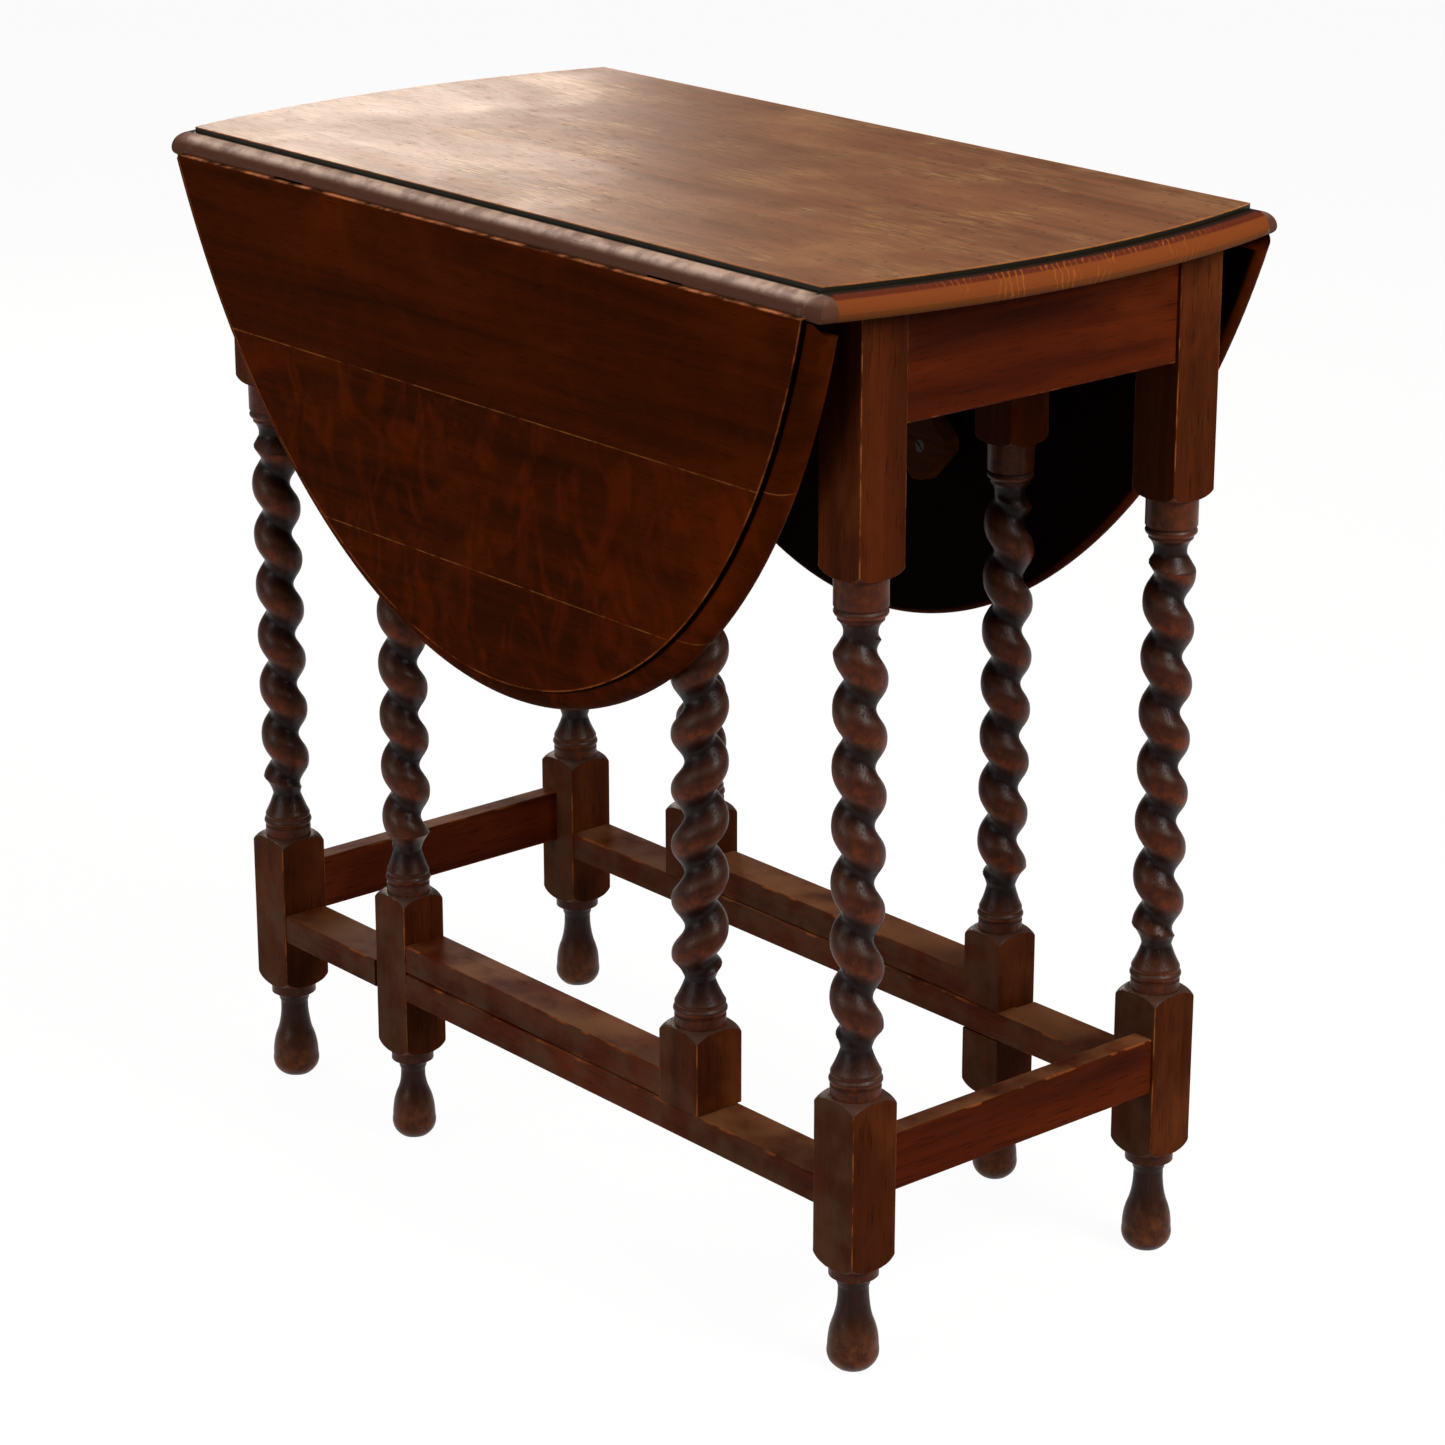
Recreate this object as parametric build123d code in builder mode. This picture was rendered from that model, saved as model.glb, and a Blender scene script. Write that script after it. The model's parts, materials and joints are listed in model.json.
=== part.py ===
from build123d import *
from math import cos, pi, radians, sin, sqrt
import os

os.makedirs("parts", exist_ok=True)

# A gateleg drop leaf table in stained oak, with barley twist legs. Sizes are in millimetres and
# angles in degrees. X runs along the hinges, -Y is the near side and Z is up. The origin is on the
# floor under the middle of the top. The far half is the near half turned by 180 degrees about Z,
# apart from the angles at which the twists start.

# Top
table_height = 730
oval_width = 744  # along the hinges
oval_length = 1026  # across both leaves when they are up
top_thickness = 20
quirk_depth = 4  # square step above the mouldings
ovolo_radius = 12.2  # rounding of the rule joint
joint_under_round = 3.4  # rounding of the rule joint's lower edge
edge_setback = 16  # from the nose of the oval edge to its step
edge_round = 10.4  # rounding of the oval edge above its nose
edge_under_round = 5.5  # and below it
hinge_line = 185  # from the middle of the top to the step over each hinge
joint_gap = 0.4  # between the leaf's hollow and the rounding that it rides on
leaf_swing = 94  # from hanging to level: the leaves hang a little past plumb
inner_board = 118  # widths of the leaf's first two boards
middle_board = 119

# Legs and posts
end_overhang = 56  # from the nose of the top's end to the middle of a leg
leg_inset = 47.5  # from the hinge line to the middle of a leg
leg_block = 38.6
gate_block = 36
post_block = 40
block_arris = 1.2
foot_height = 73.5
gate_foot_height = 67.5
lower_block = 120
gate_lower_block = 124
upper_block = 170
gate_upper_block = 164
shoulder = 9  # height of the rounded shoulder between a block and its turning
shoulder_swell = 2.4
foot_shoulder = 13
foot_shoulder_swell = 3

# Turned outlines. A row is the distance inside the face of the block, a height, and how far the
# curve that leads to the point swells outwards: a bead swells by more than 0, a cove by less, and a
# straight run by 0.
foot_bulb = [(8, 0, 0), (2.2, 15, 2.6), (6, 35, 1)]  # heights from the floor
foot_neck = [(8.9, 18, -0.8), (8, 13, -0.4), (2.6, 7, -1.6), (2.6, 0, 0)]  # heights down from the block
lower_beads = [  # heights up from the lower block
    (2.4, 0, 2.4),
    (2.4, 7, 0),
    (3.1, 7, 0),
    (3.1, 8.2, 0),
    (3.1, 14, 1.6),
    (2.6, 15, 0),
    (2.6, 16.5, 0),
]
upper_beads = [  # heights down from the upper block
    (4.1, 28, -1.6),
    (4.1, 26, 0),
    (3.3, 25.5, 0),
    (3.3, 20, 1.7),
    (3.3, 19, 0),
    (1.6, 19, 0),
    (1.6, 0, 0),
]
lower_neck = 32  # from the lower block to the foot of the twist
lower_waist = 10.3  # radius there
lower_sweep = -0.4
upper_neck = 39  # from the top of the twist to the upper block
upper_waist = 11.4

# Barley twist
twist_pitch = 38.57
twist_crest = 17.6
post_twist_crest = 19.3
twist_valley = 10.4
twist_fullness = 1.1  # how far the flanks of the ridge swell past a plain wave
twist_points = 16  # points around the section
twist_run_in = 14  # height in which the twist swells from its neck to its full size
run_in_sweep = -1.2
twist_run_out = 11  # and in which it falls to the upper neck
turning_spare = 0.2  # wood left over the crest by the turning
start_angle = {"near_right": 194.2, "far_right": 328.7, "near_left": 305.7, "far_left": 60}
gate_start_angle = {"near": 107.7, "far": 3.1}
post_start_angle = {"near": 70, "far": 59}

# Rails of the frame
rail_arris = 1.5
side_apron_thickness = 22
end_apron_thickness = 20
apron_depth = 75
apron_setback = 3
apron_tenon_thickness = 8
apron_tenon_depth = 55
side_stretcher_width = 36.5
side_stretcher_thickness = 21
side_stretcher_bottom = 114.6
side_tenon_width = 24
side_tenon_thickness = 9
end_stretcher_thickness = 16.5
end_stretcher_depth = 40
end_stretcher_bottom = 125
end_stretcher_setback = 2.4
end_tenon_thickness = 8
end_tenon_depth = 28
tenon_off_center = 5  # from the end of a tenon to the middle of the leg
mortise_spare = 0.3  # room past the end of a tenon

# Gates
gate_leg_inset = 151  # from the middle of a corner leg to the middle of the gate leg
pivot_inset = 154
gate_lift = 0.8  # gap under and over the gate's moving ends
gate_bottom_rail_width = 34
gate_bottom_rail_thickness = 21
gate_top_rail_width = 22
gate_top_rail_depth = 28
gate_top_rail_drop = 11  # from the apron to the gate's top rail
gate_tenon_width = 12
gate_tenon_thickness = 11
pivot_diameter = 10
pivot_in_post = 14
pivot_in_rail = 10
pivot_wall = 2  # wood between a pivot and a tenon
lap_gap = 0.6  # between the two halves of a lap joint
lap_side_gap = 1.2
gate_open_angle = 41  # where the gate leg meets the stop under the raised leaf

# Hinges
hinge_inset = 172  # from the nose of the top's end to the middle of a hinge
hinge_width = 32
plate_thickness = 1.8
top_flap = 28  # from the pin to the end of the flap
leaf_flap = 52
flap_root = 4.8  # from the pin to the full width of a flap
knuckle_radius = 3.2
outer_knuckle = 10
knuckle_gap = 0.2
pin_radius = 1.5
running_fit = 0.05
recess_spare = 0.1
knuckle_room = 0.8

# Gate stops
stop_along_gate = 36
stop_across_gate = 44
stop_thickness = 15
stop_clip = 6

# Screws
screw_fit = 0.1
screw_tip = 0.3
hinge_screw_shank = 3.4
hinge_screw_head = 6.6
hinge_screw_length = 12
hinge_screw_spread = 10  # from the middle of a hinge
top_flap_screws = 16  # from the pin
leaf_flap_screws = 24
leaf_flap_end_screw = 44
stop_screw_shank = 4.5
stop_screw_head = 9
stop_screw_length = 27
pocket_screw_shank = 4.5
pocket_screw_head = 9.5
pocket_screw_head_height = 3.5
pocket_screw_length = 40
pocket_diameter = 11
pocket_tilt = 15
pocket_seat = 29  # from the top of the apron to the screw's head
side_pocket_place = 70
end_pocket_place = 60
overcut = 1  # how far a cut runs past the wood

# Worked out from the sizes above
underside = table_height - top_thickness
step_height = table_height - quirk_depth
axis_height = step_height - ovolo_radius
joint_nose = hinge_line + ovolo_radius
hollow_radius = ovolo_radius + joint_gap
leg_x = oval_width / 2 - end_overhang
leg_y = hinge_line - leg_inset
gate_leg_place = leg_x - gate_leg_inset
pivot_place = leg_x - pivot_inset
hinge_place = oval_width / 2 - hinge_inset
apron_bottom = underside - apron_depth
lower_block_top = foot_height + lower_block
gate_lower_block_top = gate_foot_height + gate_lower_block
tenon_length = leg_block / 2 - tenon_off_center
side_stretcher_top = side_stretcher_bottom + side_stretcher_thickness
gate_bottom = side_stretcher_top + gate_lift
post_top = apron_bottom - gate_lift
gate_leg_top = underside - gate_lift
gate_tenon_off_center = pivot_diameter / 2 + pivot_wall
hinge_plate_height = underside + plate_thickness / 2
half_turn = Rot(0, 0, 180)
leaf_down = (
    Pos(0, hinge_line, axis_height) * Rot(-leaf_swing, 0, 0) * Pos(0, -hinge_line, -axis_height)
)


def keep(piece, name):
    piece.label = name
    export_step(piece, f"parts/{name}.step")


def bowed(start, end, swell):
    if swell == 0:
        return Line(start, end)
    run = end[0] - start[0]
    rise = end[1] - start[1]
    chord = sqrt(run * run + rise * rise)
    middle = (
        (start[0] + end[0]) / 2 + swell * rise / chord,
        (start[1] + end[1]) / 2 - swell * run / chord,
    )
    return ThreePointArc(start, middle, end)


def turned_stock(block, crest, base, foot, lower_top, upper_bottom, tip):
    half = block / 2
    corner = half * sqrt(2) + overcut
    twist_bottom = lower_top + lower_neck
    twist_top = upper_bottom - upper_neck
    if base == 0:
        outline = [(half - inset, height, swell) for inset, height, swell in foot_bulb]
        outline += [(half - inset, foot - drop, swell) for inset, drop, swell in foot_neck]
        outline += [(corner, foot + foot_shoulder, foot_shoulder_swell)]
    else:
        outline = [(corner, base, 0)]
    outline += [(corner, lower_top - shoulder, 0)]
    outline += [(half - inset, lower_top + height, swell) for inset, height, swell in lower_beads]
    outline += [(lower_waist, twist_bottom, lower_sweep)]
    outline += [(crest + turning_spare, twist_bottom + twist_run_in, run_in_sweep)]
    outline += [(crest + turning_spare, twist_top - twist_run_out, 0)]
    outline += [(upper_waist, twist_top, 0)]
    outline += [(half - inset, upper_bottom - drop, swell) for inset, drop, swell in upper_beads]
    outline += [(corner, upper_bottom + shoulder, shoulder_swell), (corner, tip, 0)]
    with BuildPart() as stock:
        with BuildSketch(Plane.XZ):
            with BuildLine():
                for start, end in zip(outline, outline[1:]):
                    bowed(start[:2], end[:2], end[2])
                Polyline((corner, tip), (0, tip), (0, base), outline[0][:2])
            make_face()
        revolve(axis=Axis.Z)
        with BuildSketch(Plane.XY.offset(base)):
            RectangleRounded(block, block, block_arris)
        extrude(amount=tip - base, mode=Mode.INTERSECT)
    return stock.part


# One strand winds up the leg: a section with one crest and one valley, turned as it rises.


def twist_waste(block, crest, low, high, crest_angle, hand):
    middle = (crest + twist_valley) / 2
    wave = (crest - twist_valley) / 2
    points = []
    for step in range(twist_points):
        around = 2 * pi * step / twist_points
        radius = middle + wave * cos(around) + twist_fullness * sin(around) ** 2
        turn = around + radians(crest_angle)
        points.append((radius * cos(turn), radius * sin(turn)))
    with BuildSketch(Plane.XY.offset(low)) as section:
        with BuildLine():
            Spline(*points, periodic=True)
        make_face()
    strand = Solid.extrude_linear_with_rotation(
        section.sketch.faces()[0],
        (0, 0, low),
        (0, 0, high - low),
        hand * 360 * (high - low) / twist_pitch,
    )
    with BuildPart() as waste:
        with Locations((0, 0, low)):
            Cylinder(block, high - low, align=(Align.CENTER, Align.CENTER, Align.MIN))
        add(strand, mode=Mode.SUBTRACT)
    return waste.part


def twisted_piece(block, crest, base, foot, lower_top, upper_bottom, tip, crest_angle, hand):
    stock = turned_stock(block, crest, base, foot, lower_top, upper_bottom, tip)
    waste = twist_waste(
        block, crest, lower_top + lower_neck, upper_bottom - upper_neck, crest_angle, hand
    )
    with BuildPart() as piece:
        add(stock)
        add(waste, mode=Mode.SUBTRACT)
    return piece.part


# Rails. Each is built along X at the near side, with a tenon at both ends.


def rail(low_x, high_x, place, low_z, width, depth, tenon, low_tenon, high_tenon):
    tenon_width, tenon_depth = tenon
    middle = low_z + depth / 2
    with BuildPart() as piece:
        with BuildSketch(Plane.YZ.offset(low_x)):
            with Locations((-place, middle)):
                RectangleRounded(width, depth, rail_arris)
        extrude(amount=high_x - low_x)
        with Locations(((low_x - low_tenon + high_x + high_tenon) / 2, -place, middle)):
            Box(high_x - low_x + low_tenon + high_tenon, tenon_width, tenon_depth)
    return piece.part


# Screws point up, with the top of the head at the origin.


def sunk_screw(shank, head, length, slot):
    sink = (head - shank) / 2
    slot_width = head / 8
    slot_depth = head / 5
    with BuildPart() as screw:
        with BuildSketch(Plane.XZ):
            with BuildLine():
                Polyline(
                    (0, 0),
                    (head / 2, 0),
                    (shank / 2, sink),
                    (shank / 2, length - shank),
                    (screw_tip, length),
                    (0, length),
                    close=True,
                )
            make_face()
        revolve(axis=Axis.Z)
        if slot:
            Box(head + overcut, slot_width, 2 * slot_depth, mode=Mode.SUBTRACT)
    return screw.part


def pocket_screw(spare):
    shank = pocket_screw_shank / 2 + spare
    with BuildPart() as screw:
        Cylinder(shank, pocket_screw_length + spare, align=(Align.CENTER, Align.CENTER, Align.MIN))
        if spare == 0:
            with Locations((0, 0, -pocket_screw_head_height)):
                Cylinder(
                    pocket_screw_head / 2,
                    pocket_screw_head_height,
                    align=(Align.CENTER, Align.CENTER, Align.MIN),
                )
            fillet(screw.edges().sort_by(Axis.Z)[0], pocket_screw_head_height / 2)
        else:
            with Locations((0, 0, -apron_depth)):
                Cylinder(pocket_diameter / 2, apron_depth, align=(Align.CENTER, Align.CENTER, Align.MIN))
    return screw.part


end_apron_place = leg_x + leg_block / 2 - apron_setback - end_apron_thickness / 2
end_stretcher_place = leg_x + leg_block / 2 - end_stretcher_setback - end_stretcher_thickness / 2


def pocket_at(along, place):
    tilt = Rot(pocket_tilt, 0, 0)
    return Pos(along, -place, underside) * tilt * Pos(0, 0, -pocket_seat)


side_pockets = [pocket_at(x, leg_y) for x in (-side_pocket_place, side_pocket_place)]
end_pockets = [pocket_at(x, end_apron_place) for x in (-end_pocket_place, end_pocket_place)]
pocket_places = [Rot(0, 0, turn) * place for turn in (0, 180) for place in side_pockets]
pocket_places += [Rot(0, 0, turn) * place for turn in (90, 270) for place in end_pockets]
pocket_room = pocket_screw(screw_fit)

with BuildPart() as top_screws:
    with Locations(*pocket_places):
        add(pocket_screw(0))
keep(top_screws.part, "top_fixing_screws")

# Hinge places, seen from the pin, on the far side
far_hinges = [Pos(x, hinge_line, axis_height) for x in (-hinge_place, hinge_place)]
plate_drop = hinge_plate_height - axis_height
screw_drop = underside - axis_height
top_flap_places = [
    hinge * Pos(x, -top_flap_screws, screw_drop)
    for hinge in far_hinges
    for x in (-hinge_screw_spread, hinge_screw_spread)
]
leaf_flap_places = [
    hinge * Pos(x, y, screw_drop)
    for hinge in far_hinges
    for x, y in (
        (-hinge_screw_spread, leaf_flap_screws),
        (hinge_screw_spread, leaf_flap_screws),
        (0, leaf_flap_end_screw),
    )
]
hinge_screw = sunk_screw(hinge_screw_shank, hinge_screw_head, hinge_screw_length, True)
hinge_screw_room = sunk_screw(
    hinge_screw_shank + 2 * screw_fit,
    hinge_screw_head + 2 * screw_fit,
    hinge_screw_length + screw_fit,
    False,
)
inner_knuckle = hinge_width - 2 * outer_knuckle - 2 * knuckle_gap
outer_knuckle_place = (hinge_width - outer_knuckle) / 2
along_x = Rot(0, 90, 0)

# The whole oval, with its moulded edge, before it is sawn into board and leaves
with BuildPart() as oval_blank:
    with BuildSketch(Plane.XY.offset(underside)):
        Ellipse(oval_width / 2, oval_length / 2)
    extrude(amount=step_height - underside)
    fillet(oval_blank.edges().sort_by(Axis.Z)[-1], edge_round)
    fillet(oval_blank.edges().sort_by(Axis.Z)[0], edge_under_round)
    with BuildSketch(Plane.XY.offset(step_height)):
        Ellipse(oval_width / 2 - edge_setback, oval_length / 2 - edge_setback)
    extrude(amount=quirk_depth)

# Centre board: both long sides are rounded for the rule joint
with BuildPart() as centre_board:
    with BuildSketch(Plane.YZ.offset(-oval_width / 2 - overcut)) as joint_section:
        with Locations((0, underside)):
            Rectangle(2 * joint_nose, step_height - underside, align=(Align.CENTER, Align.MIN))
        fillet(joint_section.vertices().group_by(Axis.Y)[-1], ovolo_radius)
        fillet(joint_section.vertices().group_by(Axis.Y)[0], joint_under_round)
        with Locations((0, step_height)):
            Rectangle(2 * hinge_line, quirk_depth, align=(Align.CENTER, Align.MIN))
    extrude(amount=oval_width + 2 * overcut)
    add(oval_blank.part, mode=Mode.INTERSECT)
    room = knuckle_radius + knuckle_room
    for turn in (Rot(0, 0, 0), half_turn):
        hinges = [turn * hinge for hinge in far_hinges]
        flap_length = top_flap - flap_root + 2 * recess_spare
        flap_middle = -(top_flap + flap_root) / 2
        with Locations(*[hinge * Pos(0, flap_middle, plate_drop) for hinge in hinges]):
            Box(
                hinge_width + 2 * recess_spare,
                flap_length,
                plate_thickness + 2 * recess_spare,
                mode=Mode.SUBTRACT,
            )
        with Locations(*[hinge * Pos(0, -flap_root - knuckle_room, 0) for hinge in hinges]):
            Box(
                hinge_width + 2 * knuckle_room,
                flap_root + knuckle_room + ovolo_radius + overcut,
                top_thickness,
                align=(Align.CENTER, Align.MIN, Align.MAX),
                mode=Mode.SUBTRACT,
            )
        with Locations(*[hinge * along_x for hinge in hinges]):
            Cylinder(room, hinge_width + 2 * knuckle_room, mode=Mode.SUBTRACT)
        with Locations(*[turn * place for place in top_flap_places]):
            add(hinge_screw_room, mode=Mode.SUBTRACT)
    with Locations(*pocket_places):
        add(pocket_room, mode=Mode.SUBTRACT)
keep(centre_board.part, "centre_board")

# Leaf, level on the far side, with the hollow that rides over the board's rounding
stop_leg = radians(gate_open_angle)
gate_radius = gate_leg_place + pivot_place
stop_reach = gate_block / 2 + stop_across_gate / 2
stop_x = -pivot_place + gate_radius * cos(stop_leg) - stop_reach * sin(stop_leg)
stop_y = leg_y + gate_radius * sin(stop_leg) + stop_reach * cos(stop_leg)
stop_place = Pos(stop_x, stop_y, underside) * Rot(0, 0, gate_open_angle)
stop_screw_place = stop_place * Pos(0, 0, -stop_thickness)
stop_screw_room = sunk_screw(
    stop_screw_shank + 2 * screw_fit,
    stop_screw_head + 2 * screw_fit,
    stop_screw_length + screw_fit,
    False,
)

with BuildPart() as leaf:
    add(oval_blank.part)
    split(bisect_by=Plane((0, hinge_line + joint_gap, 0), z_dir=(0, 1, 0)), keep=Keep.TOP)
    with Locations(Pos(0, hinge_line, axis_height) * along_x):
        Cylinder(hollow_radius, oval_width + 2 * overcut, mode=Mode.SUBTRACT)
    with Locations((0, hinge_line, axis_height)):
        Box(
            oval_width + 2 * overcut,
            hollow_radius,
            top_thickness,
            align=(Align.CENTER, Align.MIN, Align.MAX),
            mode=Mode.SUBTRACT,
        )
    with Locations(*[hinge * Pos(0, 0, plate_drop) for hinge in far_hinges]):
        Box(
            hinge_width + 2 * recess_spare,
            leaf_flap + recess_spare,
            plate_thickness + 2 * recess_spare,
            align=(Align.CENTER, Align.MIN, Align.CENTER),
            mode=Mode.SUBTRACT,
        )
    with Locations(*leaf_flap_places):
        add(hinge_screw_room, mode=Mode.SUBTRACT)
    with Locations(stop_screw_place):
        add(stop_screw_room, mode=Mode.SUBTRACT)

first_joint = hinge_line + inner_board
second_joint = first_joint + middle_board
board_limits = {
    "inner_board": (hinge_line, first_joint),
    "middle_board": (first_joint, second_joint),
    "outer_board": (second_joint, oval_length / 2 + overcut),
}
for board_name, (board_start, board_end) in board_limits.items():
    with BuildPart() as board:
        add(leaf.part)
        split(bisect_by=Plane((0, board_start, 0), z_dir=(0, 1, 0)), keep=Keep.TOP)
        split(bisect_by=Plane((0, board_end, 0), z_dir=(0, 1, 0)), keep=Keep.BOTTOM)
    hanging = leaf_down * board.part
    keep(hanging, f"far_leaf_{board_name}")
    keep(half_turn * hanging, f"near_leaf_{board_name}")

# Gate stop under the leaf, set square to the gate where it meets it
with BuildPart() as gate_stop:
    with BuildSketch(Plane.XY.offset(-stop_thickness)) as stop_outline:
        Rectangle(stop_along_gate, stop_across_gate)
        chamfer(stop_outline.vertices(), stop_clip)
    extrude(amount=stop_thickness)
    with Locations((0, 0, -stop_thickness)):
        add(stop_screw_room, mode=Mode.SUBTRACT)
stop_hanging = leaf_down * stop_place * gate_stop.part
keep(stop_hanging, "far_gate_stop")
keep(half_turn * stop_hanging, "near_gate_stop")
stop_screw = sunk_screw(stop_screw_shank, stop_screw_head, stop_screw_length, True)
stop_screw_hanging = leaf_down * stop_screw_place * stop_screw
keep(stop_screw_hanging, "far_gate_stop_screw")
keep(half_turn * stop_screw_hanging, "near_gate_stop_screw")

# Hinges: a short flap on the board, a long one on the leaf, and the pin that both turn on
with BuildPart() as top_plate:
    with Locations((0, -(top_flap + flap_root) / 2, plate_drop)):
        Box(hinge_width, top_flap - flap_root, plate_thickness)
    with Locations(*[Pos(x, 0, 0) for x in (-outer_knuckle_place, outer_knuckle_place)]):
        with Locations((0, 0, plate_drop)):
            Box(outer_knuckle, flap_root, plate_thickness, align=(Align.CENTER, Align.MAX, Align.CENTER))
        with Locations(along_x):
            Cylinder(knuckle_radius, outer_knuckle)
    with Locations(along_x):
        Cylinder(pin_radius + running_fit, hinge_width + 2 * overcut, mode=Mode.SUBTRACT)
    with Locations(
        (-hinge_screw_spread, -top_flap_screws, screw_drop),
        (hinge_screw_spread, -top_flap_screws, screw_drop),
    ):
        add(hinge_screw_room, mode=Mode.SUBTRACT)

with BuildPart() as leaf_plate:
    with Locations((0, (leaf_flap + flap_root) / 2, plate_drop)):
        Box(hinge_width, leaf_flap - flap_root, plate_thickness)
    with Locations((0, 0, plate_drop)):
        Box(inner_knuckle, flap_root, plate_thickness, align=(Align.CENTER, Align.MIN, Align.CENTER))
    with Locations(along_x):
        Cylinder(knuckle_radius, inner_knuckle)
        Cylinder(pin_radius + running_fit, inner_knuckle + 2 * overcut, mode=Mode.SUBTRACT)
    with Locations(
        (-hinge_screw_spread, leaf_flap_screws, screw_drop),
        (hinge_screw_spread, leaf_flap_screws, screw_drop),
        (0, leaf_flap_end_screw, screw_drop),
    ):
        add(hinge_screw_room, mode=Mode.SUBTRACT)

with BuildPart() as top_plates:
    with Locations(*far_hinges):
        add(top_plate.part)
with BuildPart() as leaf_plates:
    with Locations(*far_hinges):
        add(leaf_plate.part)
with BuildPart() as hinge_pins:
    with Locations(*[hinge * along_x for hinge in far_hinges]):
        Cylinder(pin_radius, hinge_width)
with BuildPart() as top_flap_screw_group:
    with Locations(*top_flap_places):
        add(hinge_screw)
with BuildPart() as leaf_flap_screw_group:
    with Locations(*leaf_flap_places):
        add(hinge_screw)

hinge_pieces = {
    "hinge_top_plates": top_plates.part,
    "hinge_pins": hinge_pins.part,
    "hinge_top_screws": top_flap_screw_group.part,
    "hinge_leaf_plates": leaf_down * leaf_plates.part,
    "hinge_leaf_screws": leaf_down * leaf_flap_screw_group.part,
}
for piece_name, piece in hinge_pieces.items():
    keep(piece, f"far_{piece_name}")
    keep(half_turn * piece, f"near_{piece_name}")

# Frame rails
inner_face_x = leg_x - leg_block / 2
inner_face_y = leg_y - leg_block / 2
apron_tenon = (apron_tenon_thickness, apron_tenon_depth)
side_tenon = (side_tenon_width, side_tenon_thickness)
end_tenon = (end_tenon_thickness, end_tenon_depth)
side_rail_span = (-inner_face_x, inner_face_x, leg_y)
side_apron_blank = rail(
    *side_rail_span,
    apron_bottom,
    side_apron_thickness,
    apron_depth,
    apron_tenon,
    tenon_length,
    tenon_length,
)
side_stretcher_blank = rail(
    *side_rail_span,
    side_stretcher_bottom,
    side_stretcher_width,
    side_stretcher_thickness,
    side_tenon,
    tenon_length,
    tenon_length,
)
end_apron_blank = rail(
    -inner_face_y,
    inner_face_y,
    end_apron_place,
    apron_bottom,
    end_apron_thickness,
    apron_depth,
    apron_tenon,
    tenon_length,
    tenon_length,
)
end_stretcher = rail(
    -inner_face_y,
    inner_face_y,
    end_stretcher_place,
    end_stretcher_bottom,
    end_stretcher_thickness,
    end_stretcher_depth,
    end_tenon,
    tenon_length,
    tenon_length,
)

# Both side rails are cut away for the outer half of the gate leg, and bored for the gate's pivots
lap_width = gate_block + 2 * lap_side_gap
lap_reach = leg_block
lap_face = leg_y - lap_gap / 2
pivot_hole = pivot_diameter / 2 + running_fit

with BuildPart() as side_apron:
    add(side_apron_blank)
    with Locations((-gate_leg_place, -lap_face, apron_bottom + apron_depth / 2)):
        Box(
            lap_width,
            lap_reach,
            apron_depth + 2 * overcut,
            align=(Align.CENTER, Align.MAX, Align.CENTER),
            mode=Mode.SUBTRACT,
        )
    with Locations((pivot_place, -leg_y, apron_bottom)):
        Cylinder(
            pivot_hole,
            pivot_in_rail + mortise_spare,
            align=(Align.CENTER, Align.CENTER, Align.MIN),
            mode=Mode.SUBTRACT,
        )
    with Locations(*side_pockets):
        add(pocket_room, mode=Mode.SUBTRACT)
keep(side_apron.part, "near_side_apron")
keep(half_turn * side_apron.part, "far_side_apron")

with BuildPart() as side_stretcher:
    add(side_stretcher_blank)
    with Locations((-gate_leg_place, -lap_face, side_stretcher_bottom + side_stretcher_thickness / 2)):
        Box(
            lap_width,
            lap_reach,
            side_stretcher_thickness + 2 * overcut,
            align=(Align.CENTER, Align.MAX, Align.CENTER),
            mode=Mode.SUBTRACT,
        )
    with Locations((pivot_place, -leg_y, side_stretcher_top)):
        Cylinder(
            pivot_hole,
            pivot_in_rail + mortise_spare,
            align=(Align.CENTER, Align.CENTER, Align.MAX),
            mode=Mode.SUBTRACT,
        )
keep(side_stretcher.part, "near_side_stretcher")
keep(half_turn * side_stretcher.part, "far_side_stretcher")

with BuildPart() as end_apron:
    add(end_apron_blank)
    with Locations(*end_pockets):
        add(pocket_room, mode=Mode.SUBTRACT)
keep(Rot(0, 0, 90) * end_apron.part, "right_end_apron")
keep(Rot(0, 0, 270) * end_apron.part, "left_end_apron")
keep(Rot(0, 0, 90) * end_stretcher, "right_end_stretcher")
keep(Rot(0, 0, 270) * end_stretcher, "left_end_stretcher")

# Corner legs, each with four mortises
mortise_depth = tenon_length + mortise_spare
apron_middle = apron_bottom + apron_depth / 2
side_stretcher_middle = side_stretcher_bottom + side_stretcher_thickness / 2
end_stretcher_middle = end_stretcher_bottom + end_stretcher_depth / 2

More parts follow.
